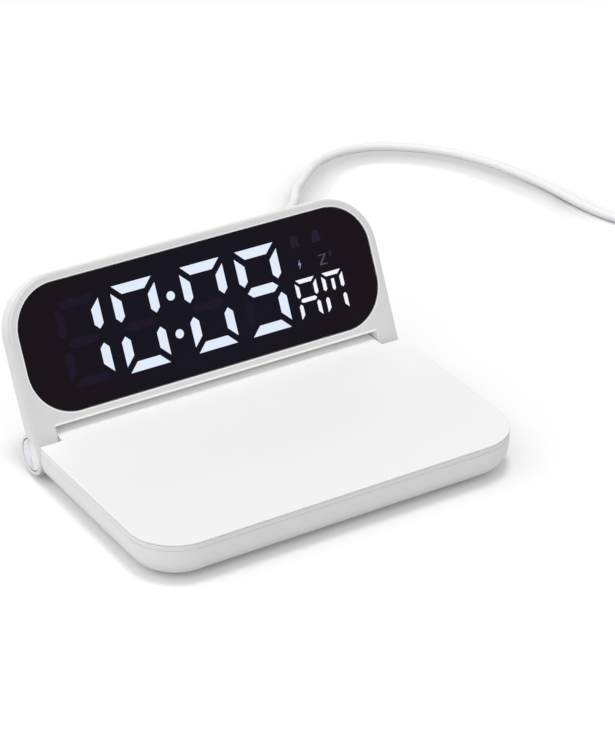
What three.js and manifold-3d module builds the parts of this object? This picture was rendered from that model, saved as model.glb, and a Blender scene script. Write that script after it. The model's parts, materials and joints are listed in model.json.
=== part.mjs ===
// A wireless charging pad with a clock display that folds on a hinge along the pad's rear edge.
// Millimetres, +Z up, +X to the user's right and +Y away from the user.
// The origin is on the table, under the middle of the clock without its power lead.

import * as THREE from "three";
import { mergeVertices } from "three/addons/utils/BufferGeometryUtils.js";
import Module from "manifold-3d";

const wasm = await Module();
wasm.setup();

// Fits between pieces
const seatGap = 0.3; // a piece and the seat that holds it
const swingGap = 0.4; // the pad's rear edge and the arms' round ends
const armSideGap = 0.5; // each side of the base's tongue and the arm beside it
const seamGap = 0.3; // the two halves of a casing
const past = 1; // how far a cutter runs past the face it cuts
const bite = 0.5; // how far a lump runs into what it is joined to

// Whole clock
const clockWidth = 150;
const hingeToFront = 88.9;
const baseHeight = 15;
const footStand = 1; // how far the feet hold the base off the table
const hingeDepth = 7.25; // hinge axis below the pad's face
const leanDegrees = 25.5; // display leaning back from upright

// Base casing
const baseCornerRadius = 18;
const shellWall = 2;
const coverDepth = 2.4; // pad face down to the seam
const coverPlate = 1.6;
const coverEdgeRound = 0.3;
const lowerEdgeRound = 8.7;
const sideDraft = 0.25;
const tongueRearWall = 4;
const tongueLowerRound = 1.5;
const lipWidth = 1.2;
const lipDepth = 2;

// Feet
const footRadius = 5;
const footSink = 0.6;
const footEdge = 0.4;
const footInset = 18; // from the base's sides and front
const footRearInset = 7; // from the pad's rear edge

// Case screws
const caseHeadRadius = 2.4;
const caseHeadHeight = 1.6;
const caseHeadRecess = 2.2;
const caseShankRadius = 1.2;
const caseBossRadius = 4.2;
const caseBossHeight = 4;
const coverBossRadius = 3.2;
const caseScrewInset = 32; // from the base's sides
const caseScrewFrontInset = 14;
const caseScrewRearInset = 16;
const driveSlotWidth = 0.6;
const driveSlotDepth = 0.5;

// Charging coil and what carries it
const coilWire = 1.4;
const coilPitch = 1.9;
const coilInnerRadius = 11;
const coilTurns = 7;
const ferriteSide = 54;
const ferriteThickness = 1.2;
const carrierMargin = 1; // carrier plate beyond the ferrite sheet
const carrierPlate = 1.6;
const carrierLeg = 4;
const carrierHoleRadius = 8;

// Charger board
const boardThickness = 1.6;
const boardWidth = 42;
const boardDepth = 21;
const boardPostRadius = 1.8;
const boardPostInset = 3;
const boardToPin = 2.1; // between the charger board and the right hinge pin's inner end
const chipSide = 7;
const chipHeight = 0.9;
const inductorSide = 7;
const inductorHeight = 4;
const capacitorLength = 6;
const capacitorWidth = 5;
const capacitorHeight = 3;

// USB-C socket and plug
const socketFromBoardEnd = 21; // socket's middle from the charger board's right end
const plugShellWidth = 8.3;
const plugShellHeight = 2.5;
const plugShellLength = 6.5;
const plugShellWall = 0.5;
const socketWall = 0.4;
const socketLength = 7.5;
const contactTongue = 0.6;
const contactTongueLength = 4.5;
const gripWidth = 11.6;
const gripHeight = 5.6;
const gripLength = 20;
const gripCorner = 2.2;
const reliefLength = 10;
const reliefRadius = 2.6;

// Hinge
const armWidth = 8.4;
const armRadius = 7.6; // round arm end, and the display's face ahead of the hinge axis
const bushRadius = 4.5;
const bushLength = 12;
const bearingLength = 10;
const pinRadius = 3;
const pinBoreRadius = 1.6;
const pinInnerReach = 1; // pin past the bush, inside the base
const hexFlats = 7.5;
const hexLength = 2.4;
const armInnerWall = 1.6;
const capRadius = 5.8;
const capThickness = 1.3;
const capSink = 0.1;
const capEdge = 0.3;
const capLedge = 0.6; // the recess floor under the cap's rim
const wireSlotWidth = 2.1;

// Display casing
const displayRise = 60; // hinge axis to the display's top edge
const displayThickness = 8;
const displayCornerRadius = 19.7;
const displayEdgeRound = 0.8;
const slotRise = 8.1; // hinge axis to the display's lower edge
const splitRise = 0.6; // from the display's back to where frame and rear cover part
const frameWall = 2.2;
const bezelSide = 3;
const bezelTop = 2.7;
const bezelBottom = 2.9;
const lensThickness = 1;
const lensSink = 0.2;
const ledgeWidth = 1.5;
const ledgeThickness = 1.8;
const cavityLowCorner = 4;
const coverInside = 1.3; // rear cover's plate, inside the frame
const coverScrewInset = 6.7; // from the display's sides
const coverScrewRise = 6.5; // from the display's lower edge
const coverScrewBoss = 2.6;
const coverShankRadius = 0.9;
const coverHeadRadius = 1.9;
const coverHeadHeight = 0.5;
const coverHeadSink = 0.9;
const tabWidth = 8;
const tabThickness = 1.2;
const tabReach = 1.6;
const tabX = 34;

// Display light path
const maskThickness = 1.2;
const guidePlate = 0.3;
const guideMargin = 1.2;
const guideFit = 0.25;
const displayBoardThickness = 1;
const boardToScrew = 4.7; // between the display board's ends and the cover screws' bosses
const displayBoardInset = 2.2; // from the cavity's lower and upper walls
const digitWidth = 17.6;
const digitHeight = 31.5;
const digitStroke = 3.5;
const digitPitch = 22.6;
const digitEndGap = 0.8;
const digitSlantGap = 2.3;
const colonX = -11.75;
const colonToDigit = 13.85;
const colonRise = 6.95;
const colonRadius = 1.65;
const signWidth = 9;
const signHeight = 15.6;
const signStroke = 1.5;
const signEndGap = 0.55;
const signSlantGap = 1.2;
const signFirstX = 42.2;
const signPitch = 11.3;
const signDrop = 7.9; // below the digits' middle

// Display electronics
const clockChipSide = 9;
const clockChipHeight = 1.2;
const clockChipX = -8;
const cellRadius = 6;
const cellHeight = 1.5;
const cellX = -42;
const holderRim = 1.2;
const holderHeight = 1.2;
const buzzerRadius = 5;
const buzzerHeight = 1.4;
const buzzerX = 46;
const soundHoleRadius = 0.75;
const soundHoleRing = 2.6;
const soundHoleCount = 6;
const lowRowRise = 18; // cell, chip and buzzer, above the display's lower edge

// Setting buttons on the rear cover
const buttonRadius = 3.2;
const buttonFlange = 0.8;
const buttonFlangeHeight = 0.4;
const buttonProud = 0.6;
const buttonEdge = 0.25;
const buttonTravel = 0.4;
const buttonPitch = 15;
const buttonDrop = 12; // below the display's top edge
const switchSide = 4.5;
const switchHeight = 0.65;

// Wires through the hinge
const baseWireRadius = 1;
const displayWireRadius = 0.7;

// Power lead
const leadDiameter = 3.8;
const leadLift = 0.1; // the lead lies this near the table
const leadSides = 8;
const leadSteps = 72;
const windTurns = 5;
const windPitch = 4.4;
const windLayerRise = 4.3;
const windMeanDiameter = 41.8;
const windCentreX = 251;
const windCentreY = 69;
const windEntryDegrees = 186.7;
const windLift = 0.9; // the tie under the coil holds it off the table
const windSteps = 24; // steps in each loop
const windSides = 6;
const windRunOut = 24; // straight run from the coil to the plug
const tieWidth = 8;
const tieThickness = 0.6;
const tieDegrees = 20;
const plugAGripWidth = 15;
const plugAGripHeight = 8;
const plugAGripLength = 22;
const plugAGripCorner = 2.5;
const plugAShellWidth = 12;
const plugAShellHeight = 4.5;
const plugAShellLength = 12;
const plugAShellWall = 0.5;

// Facets
const cornerSteps = 8;
const edgeSteps = 3;
const roundSides = 18;
const armSides = 32;

// Heights and places that follow from the sizes above
const lean = THREE.MathUtils.degToRad(leanDegrees);
const baseTop = footStand + baseHeight;
const seamZ = baseTop - coverDepth;
const hingeZ = baseTop - hingeDepth;
const floorTop = footStand + shellWall;
const coverUnder = baseTop - coverPlate;
const padRear = -(armRadius + swingGap);
const padMiddle = (padRear - hingeToFront) / 2;
const slotHalf = clockWidth / 2 - armWidth;
const tongueHalf = slotHalf - armSideGap;
const displayBack = armRadius - displayThickness;
const splitZ = displayBack + splitRise;
const roundedTop = displayRise - displayEdgeRound;
const roundedBack = displayBack + displayEdgeRound;
const rearReach = roundedTop * Math.sin(lean) - roundedBack * Math.cos(lean) + displayEdgeRound;
const hingeY = (hingeToFront - rearReach) / 2;

// A closed three.js geometry as a solid that can be joined and cut
function toSolid(geometry) {
  const bare = geometry.clone();
  bare.deleteAttribute("normal");
  bare.deleteAttribute("uv");
  const merged = mergeVertices(bare, 1e-4);
  const corners = merged.index.array;
  const triangles = [];
  for (let i = 0; i < corners.length; i += 3) {
    const [a, b, c] = corners.slice(i, i + 3);
    if (a !== b && b !== c && c !== a) triangles.push(a, b, c);
  }
  const mesh = new wasm.Mesh({
    numProp: 3,
    vertProperties: new Float32Array(merged.attributes.position.array),
    triVerts: new Uint32Array(triangles),
  });
  return new wasm.Manifold(mesh);
}

// A solid back as a three.js geometry
function toGeometry(solid) {
  const mesh = solid.getMesh();
  const geometry = new THREE.BufferGeometry();
  geometry.setAttribute("position", new THREE.BufferAttribute(mesh.vertProperties, 3));
  geometry.setIndex(new THREE.BufferAttribute(mesh.triVerts, 1));
  geometry.computeVertexNormals();
  return geometry;
}

function joined(solids) {
  return solids.reduce((sum, next) => sum.add(next));
}

function point(x, y) {
  return new THREE.Vector2(x, y);
}

function arc(centreX, centreY, radius, fromTurn, toTurn, steps = cornerSteps) {
  const points = [];
  for (let i = 0; i <= steps; i++) {
    const angle = 2 * Math.PI * (fromTurn + ((toTurn - fromTurn) * i) / steps);
    points.push(point(centreX + radius * Math.cos(angle), centreY + radius * Math.sin(angle)));
  }
  return points;
}

function roundedRect(x0, x1, y0, y1, lowRadius, highRadius = lowRadius) {
  return [
    ...arc(x1 - highRadius, y1 - highRadius, highRadius, 0, 0.25),
    ...arc(x0 + highRadius, y1 - highRadius, highRadius, 0.25, 0.5),
    ...arc(x0 + lowRadius, y0 + lowRadius, lowRadius, 0.5, 0.75),
    ...arc(x1 - lowRadius, y0 + lowRadius, lowRadius, 0.75, 1),
  ];
}

// A closed body through rings of equally many points, each { points, z }, from the lowest up
function stack(rings) {
  const count = rings[0].points.length;
  const positions = [];
  for (const ring of rings) {
    for (const p of ring.points) positions.push(p.x, p.y, ring.z);
  }
  const triangles = [];
  for (let level = 0; level + 1 < rings.length; level++) {
    for (let i = 0; i < count; i++) {
      const a = level * count + i;
      const b = level * count + ((i + 1) % count);
      triangles.push(a, b, b + count, a, b + count, a + count);
    }
  }
  const top = (rings.length - 1) * count;
  for (const [a, b, c] of THREE.ShapeUtils.triangulateShape(rings[0].points, [])) triangles.push(c, b, a);
  for (const [a, b, c] of THREE.ShapeUtils.triangulateShape(rings.at(-1).points, [])) {
    triangles.push(top + a, top + b, top + c);
  }
  const geometry = new THREE.BufferGeometry();
  geometry.setAttribute("position", new THREE.Float32BufferAttribute(positions, 3));
  geometry.setIndex(triangles);
  return toSolid(geometry);
}

function prism(points, z0, z1) {
  const rings = [{ points, z: z0 }, { points, z: z1 }];
  return stack(rings);
}

function block(x0, x1, y0, y1, z0, z1) {
  const geometry = new THREE.BoxGeometry(x1 - x0, y1 - y0, z1 - z0);
  geometry.translate((x0 + x1) / 2, (y0 + y1) / 2, (z0 + z1) / 2);
  return toSolid(geometry);
}

// Two stations along X on one side of the clock, the lower one first
function sided(side, a, b) {
  return [side * a, side * b].sort((low, high) => low - high);
}

// An upright cylinder
function post(x, y, radius, z0, z1, sides = roundSides) {
  const geometry = new THREE.CylinderGeometry(radius, radius, z1 - z0, sides);
  geometry.rotateX(Math.PI / 2);
  geometry.translate(x, y, (z0 + z1) / 2);
  return toSolid(geometry);
}

// A cylinder along X on the line y, z
function rodX(x0, x1, y, z, radius, sides = roundSides) {
  const geometry = new THREE.CylinderGeometry(radius, radius, x1 - x0, sides);
  geometry.rotateZ(Math.PI / 2);
  geometry.translate((x0 + x1) / 2, y, z);
  return toSolid(geometry);
}

// A turned body about an upright axis; the profile runs from the axis at its foot to the axis at its top
function turned(profile, x, y, sides = roundSides) {
  const geometry = new THREE.LatheGeometry(profile, sides);
  geometry.rotateX(Math.PI / 2);
  geometry.translate(x, y, 0);
  return toSolid(geometry);
}

// A profile in Y and Z drawn out along X
function beamX(points, x0, x1) {
  const settings = { depth: x1 - x0, bevelEnabled: false };
  const geometry = new THREE.ExtrudeGeometry(new THREE.Shape(points), settings);
  geometry.rotateX(Math.PI / 2);
  geometry.rotateZ(Math.PI / 2);
  geometry.translate(x0, 0, 0);
  return toSolid(geometry);
}

// A round tube along a curve, with flat ends
function cable(points, radius, sides, steps) {
  const route = new THREE.CatmullRomCurve3(points, false, "centripetal");
  const section = new THREE.Shape(arc(0, 0, radius, 0, 1 - 1 / sides, sides - 1));
  const geometry = new THREE.ExtrudeGeometry(section, { steps, extrudePath: route, bevelEnabled: false });
  return toSolid(geometry);
}

// A round tube that turns about upright axes, one ring of points at each place of its centre line
function wound(centres, radius, sides) {
  const positions = [];
  const up = new THREE.Vector3(0, 0, 1);
  centres.forEach((centre, i) => {
    const before = centres[Math.max(i - 1, 0)];
    const after = centres[Math.min(i + 1, centres.length - 1)];
    const along = after.clone().sub(before).normalize();
    const side = along.clone().cross(up).normalize();
    const over = along.clone().cross(side);
    for (let k = 0; k < sides; k++) {
      const angle = (2 * Math.PI * k) / sides;
      const spoke = side.clone().multiplyScalar(radius * Math.cos(angle));
      spoke.addScaledVector(over, radius * Math.sin(angle));
      positions.push(...spoke.add(centre).toArray());
    }
  });
  const triangles = [];
  for (let ring = 0; ring + 1 < centres.length; ring++) {
    for (let k = 0; k < sides; k++) {
      const a = ring * sides + k;
      const b = ring * sides + ((k + 1) % sides);
      triangles.push(a, b, b + sides, a, b + sides, a + sides);
    }
  }
  const last = (centres.length - 1) * sides;
  for (let k = 1; k + 1 < sides; k++) {
    triangles.push(0, k + 1, k, last, last + k, last + k + 1);
  }
  const geometry = new THREE.BufferGeometry();
  geometry.setAttribute("position", new THREE.Float32BufferAttribute(positions, 3));
  geometry.setIndex(triangles);
  return toSolid(geometry);
}

// The least clear space between the turns of a wound tube, measured on its centre line
function leastSelfGap(centres, diameter, stepsInTurn) {
  let least = Infinity;
  for (let i = 0; i < centres.length; i++) {
    for (let j = i + Math.floor(stepsInTurn / 2); j < centres.length; j++) {
      least = Math.min(least, centres[i].distanceTo(centres[j]) - diameter);
    }
  }
  return least;
}

function lineLength(points) {
  return points.slice(1).reduce((sum, p, i) => sum + p.distanceTo(points[i]), 0);
}

// The pad's plan, drawn in from its sides and front
function padPlan(inset) {
  const half = clockWidth / 2 - inset;
  const front = -hingeToFront + inset;
  const radius = baseCornerRadius - inset;
  return [
    point(half, padRear),
    point(-half, padRear),
    ...arc(-half + radius, front + radius, radius, 0.5, 0.75),
    ...arc(half - radius, front + radius, radius, 0.75, 1),
  ];
}

// The plan of the room inside the base, which runs back into the tongue between the arms
function roomPlan(sideInset, rearInset) {
  const half = clockWidth / 2 - sideInset;
  const front = -hingeToFront + sideInset;
  const radius = baseCornerRadius - sideInset;
  const tongue = tongueHalf - rearInset;
  const shoulder = padRear - rearInset;
  const rear = hingeDepth - tongueRearWall;
  return [
    point(tongue, rear),
    point(-tongue, rear),
    point(-tongue, shoulder),
    point(-half, shoulder),
    ...arc(-half + radius, front + radius, radius, 0.5, 0.75),
    ...arc(half - radius, front + radius, radius, 0.75, 1),
    point(half, shoulder),
    point(tongue, shoulder),
  ];
}

// The whole outside of the base: the pad with its rounded edges, and the tongue that reaches the hinge
function baseForm() {
  const rings = [];
  for (let i = 0; i <= edgeSteps; i++) {
    const angle = (Math.PI / 2) * (i / edgeSteps);
    const inset = sideDraft + lowerEdgeRound * (1 - Math.sin(angle));
    rings.push({ points: padPlan(inset), z: footStand + lowerEdgeRound * (1 - Math.cos(angle)) });
  }
  for (let i = 0; i <= edgeSteps; i++) {
    const angle = (Math.PI / 2) * (i / edgeSteps);
    const inset = coverEdgeRound * (1 - Math.cos(angle));
    rings.push({ points: padPlan(inset), z: baseTop - coverEdgeRound * (1 - Math.sin(angle)) });
  }
  const root = padRear - shellWall;
  const profile = [
    point(root, footStand),
    ...arc(hingeDepth - tongueLowerRound, footStand + tongueLowerRound, tongueLowerRound, 0.75, 1, edgeSteps),
    ...arc(0, hingeZ, hingeDepth, 0, 0.25),
    point(root, baseTop),
  ];
  return stack(rings).add(beamX(profile, -tongueHalf, tongueHalf));
}

const footPlaces = [];
const caseScrewPlaces = [];
for (const side of [-1, 1]) {
  const name = side < 0 ? "left" : "right";
  const footX = side * (clockWidth / 2 - footInset);
  footPlaces.push({ name: `foot_front_${name}`, x: footX, y: -hingeToFront + footInset });
  footPlaces.push({ name: `foot_rear_${name}`, x: footX, y: padRear - footRearInset });
  const screwX = side * (clockWidth / 2 - caseScrewInset);
  const front = -hingeToFront + caseScrewFrontInset;
  caseScrewPlaces.push({ name: `case_screw_front_${name}`, x: screwX, y: front });
  caseScrewPlaces.push({ name: `case_screw_rear_${name}`, x: screwX, y: padRear - caseScrewRearInset });
}

const caseBossTop = floorTop + caseBossHeight;
const caseSeatZ = footStand + caseHeadRecess;
const caseHoleRadius = caseShankRadius + seatGap;
const coverHoleTop = coverUnder - shellWall / 2;
const caseScrewTip = coverHoleTop - shellWall / 2;

function baseTopCover() {
  const lipInset = shellWall + sideDraft + seatGap;
  const inside = lipInset + lipWidth;
  const above = block(-clockWidth, clockWidth, -hingeToFront, hingeDepth, seamZ, baseTop);
  const room = prism(roomPlan(inside, inside), seamZ - past, coverUnder);
  const behindPad = block(-clockWidth, clockWidth, padRear, hingeDepth, seamZ - past, baseTop);
  const lipOuter = prism(padPlan(lipInset), seamZ - lipDepth, seamZ + bite);
  const lipInner = prism(padPlan(inside), seamZ - lipDepth - past, baseTop);
  const lipEnd = block(-clockWidth, clockWidth, padRear - inside, hingeDepth, 0, baseTop);
  const lip = lipOuter.subtract(lipInner).subtract(lipEnd);
  const bossFoot = caseBossTop + seatGap;
  const bosses = caseScrewPlaces.map(({ x, y }) => post(x, y, coverBossRadius, bossFoot, coverUnder + bite));
  const holes = caseScrewPlaces.map(({ x, y }) => post(x, y, caseHoleRadius, caseBossTop, coverHoleTop));
  return baseForm()
    .intersect(above)
    .subtract(room.subtract(behindPad))
    .add(lip)
    .add(joined(bosses))
    .subtract(joined(holes));
}

const socketWidth = plugShellWidth + 2 * (seatGap + socketWall);
const socketHeight = plugShellHeight + 2 * (seatGap + socketWall);
const socketZ = floorTop + socketHeight / 2;
const socketRear = hingeDepth - seatGap;
const boardUnder = floorTop + socketHeight;
const boardRear = hingeDepth - tongueRearWall - seatGap;
const boardFront = boardRear - boardDepth;
const boardRight = tongueHalf - bushLength - pinInnerReach - boardToPin;
const boardLeft = boardRight - boardWidth;
const socketX = boardRight - socketFromBoardEnd;
const boardTop = boardUnder + boardThickness;

function baseBottomShell() {
  const rim = seamZ - seamGap;
  const below = block(-clockWidth, clockWidth, -hingeToFront, hingeDepth, footStand, rim);
  const rings = [];
  const roomRound = lowerEdgeRound - shellWall;
  for (let i = 0; i <= edgeSteps; i++) {
    const angle = (Math.PI / 2) * (i / edgeSteps);
    const inset = sideDraft + lowerEdgeRound - roomRound * Math.sin(angle);
    const z = footStand + lowerEdgeRound - roomRound * Math.cos(angle);
    rings.push({ points: roomPlan(inset, shellWall), z });
  }
  rings.push({ points: roomPlan(shellWall, shellWall), z: baseTop });
  const bearings = [-1, 1].map((side) => {
    const [x0, x1] = sided(side, tongueHalf - shellWall - bearingLength, tongueHalf - shellWall / 2);
    const front = -(bushRadius + seatGap + shellWall);
    return block(x0, x1, front, boardRear + shellWall, floorTop - bite, rim);
  });
  const saddles = [-1, 1].map((side) => {
    const [x0, x1] = sided(side, tongueHalf - bushLength - shellWall, tongueHalf + past);
    const reach = bushRadius + seatGap;
    return rodX(x0, x1, 0, hingeZ, reach).add(block(x0, x1, -reach, reach, hingeZ, baseTop));
  });
  const bosses = caseScrewPlaces.map(({ x, y }) => post(x, y, caseBossRadius, floorTop - bite, caseBossTop));
  const posts = [];
  for (const x of [boardLeft + boardPostInset, boardRight - boardPostInset]) {
    for (const y of [boardFront + boardPostInset, boardRear - boardPostInset]) {
      posts.push(post(x, y, boardPostRadius, floorTop - bite, boardUnder));
    }
  }
  const recesses = caseScrewPlaces.map(({ x, y }) =>
    post(x, y, caseHeadRadius + seatGap, footStand - past, caseSeatZ).add(
      post(x, y, caseHoleRadius, footStand, caseBossTop + past),
    ),
  );
  const footPockets = footPlaces.map(({ x, y }) =>
    post(x, y, footRadius + seatGap, footStand - past, footStand + footSink),
  );
  const windowX = socketWidth / 2 + seatGap;
  const socketWindow = block(
    socketX - windowX,
    socketX + windowX,
    boardRear - past,
    hingeDepth + past,
    floorTop,
    boardUnder + seatGap,
  );
  return baseForm()
    .intersect(below)
    .subtract(stack(rings))
    .add(joined([...bearings, ...bosses, ...posts]))
    .subtract(joined([...saddles, ...recesses, ...footPockets, socketWindow]));
}

function foot({ x, y }) {
  const height = footStand + footSink;
  const profile = [
    point(0, 0),
    point(footRadius - footEdge, 0),
    point(footRadius, footEdge),
    point(footRadius, height),
    point(0, height),
  ];
  return turned(profile, x, y);
}

// A screw with its head below, and a cross slot in the head's underside
function screw(x, y, headZ, headHeight, headRadius, shankRadius, tipZ) {
  const body = post(x, y, headRadius, headZ, headZ + headHeight).add(
    post(x, y, shankRadius, headZ, tipZ, roundSides / 2),
  );
  const reach = headRadius * 0.6;
  const half = driveSlotWidth / 2;
  const slot = block(x - reach, x + reach, y - half, y + half, headZ - past, headZ + driveSlotDepth).add(
    block(x - half, x + half, y - reach, y + reach, headZ - past, headZ + driveSlotDepth),
  );
  return body.subtract(slot);
}

function caseScrew({ x, y }) {
  const headZ = caseSeatZ - caseHeadHeight;
  return screw(x, y, headZ, caseHeadHeight, caseHeadRadius, caseShankRadius, caseScrewTip);
}

const coilTop = coverUnder - seatGap;
const ferriteTop = coilTop - coilWire - seatGap;
const carrierTop = ferriteTop - ferriteThickness;
const coilCentres = [];
for (let i = 0; i <= coilTurns * windSteps; i++) {
  const angle = (2 * Math.PI * i) / windSteps;
  const radius = coilInnerRadius + (coilPitch * i) / windSteps;
  const y = padMiddle + radius * Math.sin(angle);
  coilCentres.push(new THREE.Vector3(radius * Math.cos(angle), y, coilTop - coilWire / 2));
}

function ferriteSheet() {
  const half = ferriteSide / 2;
  return block(-half, half, padMiddle - half, padMiddle + half, carrierTop, ferriteTop);
}

function coilCarrier() {
  const half = ferriteSide / 2 + carrierMargin;
  const under = carrierTop - carrierPlate;
  const plate = prism(
    roundedRect(-half, half, padMiddle - half, padMiddle + half, carrierLeg / 2),
    under,
    carrierTop,
  );
  const legs = [];
  for (const x of [-1, 1]) {
    for (const y of [-1, 1]) {
      const legX = x * (half - carrierLeg / 2);
      const legY = padMiddle + y * (half - carrierLeg / 2);
      legs.push(post(legX, legY, carrierLeg / 2, floorTop, under + carrierPlate / 2));
    }
  }
  const hole = post(0, padMiddle, carrierHoleRadius, under - past, carrierTop + past);
  return plate.add(joined(legs)).subtract(hole);
}

function chargerBoard() {
  return block(boardLeft, boardRight, boardFront, boardRear, boardUnder, boardTop);
}

function onChargerBoard(fromLeft, fromFront, width, depth, height) {
  const x = boardLeft + fromLeft;
  const y = boardFront + fromFront;
  return block(x, x + width, y, y + depth, boardTop, boardTop + height);
}

// The socket's metal box, open to the rear, with the contact tongue inside
function usbSocket() {
  const half = socketWidth / 2;
  const front = socketRear - socketLength;
  const bodyBox = block(socketX - half, socketX + half, front, socketRear, floorTop, boardUnder);
  const roomHalf = half - socketWall;
  const roomFront = front + socketWall;
  const room = block(
    socketX - roomHalf,
    socketX + roomHalf,
    roomFront,
    socketRear + past,
    floorTop + socketWall,
    boardUnder - socketWall,
  );
  const tongueReach = plugShellWidth / 2 - plugShellWall - seatGap;
  const contacts = block(
    socketX - tongueReach,
    socketX + tongueReach,
    front,
    roomFront + contactTongueLength,
    socketZ - contactTongue / 2,
    socketZ + contactTongue / 2,
  );
  return bodyBox.subtract(room).add(contacts);
}

function hingeBush(side) {
  const [x0, x1] = sided(side, tongueHalf - bushLength, tongueHalf);
  const bore = rodX(x0 - past, x1 + past, 0, hingeZ, pinRadius + seatGap);
  return rodX(x0, x1, 0, hingeZ, bushRadius).subtract(bore);
}

// Stations along X in the arm, from its outer face inwards
const capOuter = clockWidth / 2 - capSink;
const capInner = capOuter - capThickness;
const capFloor = capInner - seatGap;
const hexPocketOuter = capFloor - wireSlotWidth;
const hexPocketInner = slotHalf + armInnerWall;
const hexInner = hexPocketInner + seatGap;
const hexOuter = hexInner + hexLength;
const hexRadius = hexFlats / Math.sqrt(3);

// The wire runs from the charger board to the hinge axis, and out through the hollow right pin
function hingeWireBase() {
  const over = boardTop + seatGap + baseWireRadius;
  const pinEnd = tongueHalf - bushLength - pinInnerReach;
  const wireEnd = hexPocketOuter + wireSlotWidth / 2 - displayWireRadius - seatGap;
  const points = [
    new THREE.Vector3(boardRight - 13, -8, over),
    new THREE.Vector3(boardRight - 7, -6, over),
    new THREE.Vector3(boardRight - 1, -1.5, over),
    new THREE.Vector3(pinEnd - 1, -0.2, hingeZ + 0.3),
    new THREE.Vector3(pinEnd + 3, 0, hingeZ),
    new THREE.Vector3(wireEnd, 0, hingeZ),
  ];
  return cable(points, baseWireRadius, leadSides, 24);
}

// The display is drawn lying on its back: X across, Y up its face from the hinge axis, Z out of its face.
const faceZ = armRadius;
const windowHalf = clockWidth / 2 - bezelSide;
const windowLow = slotRise + bezelBottom;
const windowHigh = displayRise - bezelTop;
const windowCorner = displayCornerRadius - bezelSide;
const windowMiddle = (windowLow + windowHigh) / 2;
const lensFront = faceZ - lensSink;
const lensBack = lensFront - lensThickness;
const ledgeFront = lensBack - seatGap;
const ledgeBack = ledgeFront - ledgeThickness;
const maskFront = lensBack - seatGap;
const maskBack = maskFront - maskThickness;
const guideFront = maskBack - seatGap;
const guideBack = guideFront - guidePlate;
const displayBoardFront = guideBack - seatGap;
const displayBoardBack = displayBoardFront - displayBoardThickness;
const coverInner = displayBack + coverInside;
const cavityHalf = clockWidth / 2 - frameWall;
const cavityLow = slotRise + frameWall;
const cavityHigh = displayRise - frameWall;
const cavityCorner = displayCornerRadius - frameWall;

function displayPlan(inset) {
  const half = clockWidth / 2 - inset;
  const top = displayRise - inset;
  const radius = displayCornerRadius - inset;
  return [
    point(half, 0),
    ...arc(half - radius, top - radius, radius, 0, 0.25),
    ...arc(-half + radius, top - radius, radius, 0.25, 0.5),
    point(-half, 0),
  ];
}

function windowPlan(inset) {
  return roundedRect(
    -windowHalf + inset,
    windowHalf - inset,
    windowLow + inset,
    windowHigh - inset,
    windowCorner - inset,
  );
}

function cavityPlan(inset) {
  return roundedRect(
    -cavityHalf + inset,
    cavityHalf - inset,
    cavityLow + inset,
    cavityHigh - inset,
    cavityLowCorner - inset,
    cavityCorner - inset,
  );
}

// The round end of an arm, with its outer edge rounded
function armEnd(side) {
  const round = displayEdgeRound;
  const profile = [
    point(0, 0),
    point(armRadius, 0),
    ...arc(armRadius - round, armWidth - round, round, 0, 0.25, edgeSteps),
    point(0, armWidth),
  ];
  const geometry = new THREE.LatheGeometry(profile, armSides);
  geometry.rotateZ(side < 0 ? Math.PI / 2 : -Math.PI / 2);
  geometry.translate(side * slotHalf, 0, 0);
  return toSolid(geometry);
}

// What is bored out of one arm: the pin's hole, its hexagon seat, the wire's room and the cap's recess
function armBore(side) {
  const hexSeatRadius = hexRadius + seatGap / Math.cos(Math.PI / 6);
  return joined([
    rodX(...sided(side, slotHalf - past, hexPocketInner + past), 0, 0, pinRadius + seatGap),
    rodX(...sided(side, hexPocketInner, hexPocketOuter + past), 0, 0, hexSeatRadius, 6),
    rodX(...sided(side, hexPocketOuter, capFloor + past), 0, 0, capRadius - capLedge),
    rodX(...sided(side, capFloor, clockWidth / 2 + past), 0, 0, capRadius + seatGap),
  ]);
}

// The whole outside of the display with its arms, before it is split into frame and rear cover
function displayForm() {
  const rings = [];
  for (let i = 0; i <= edgeSteps; i++) {
    const angle = (Math.PI / 2) * (i / edgeSteps);
    const inset = displayEdgeRound * (1 - Math.sin(angle));
    rings.push({ points: displayPlan(inset), z: displayBack + displayEdgeRound * (1 - Math.cos(angle)) });
  }
  for (let i = 0; i <= edgeSteps; i++) {
    const angle = (Math.PI / 2) * (i / edgeSteps);
    const inset = displayEdgeRound * (1 - Math.cos(angle));
    rings.push({ points: displayPlan(inset), z: faceZ - displayEdgeRound * (1 - Math.sin(angle)) });
  }
  const slot = block(-slotHalf, slotHalf, -past, slotRise, displayBack - past, faceZ + past);
  return stack(rings)
    .subtract(slot)
    .add(joined([armEnd(-1), armEnd(1)]))
    .subtract(joined([armBore(-1), armBore(1)]));
}

const coverScrewX = clockWidth / 2 - coverScrewInset;
const coverScrewY = slotRise + coverScrewRise;
const displayBoardHalf = coverScrewX - coverScrewBoss - boardToScrew;
const wireChannelTop = coverScrewY + coverScrewBoss + 3;
const channelZ = coverInner + seatGap + displayWireRadius;

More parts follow.
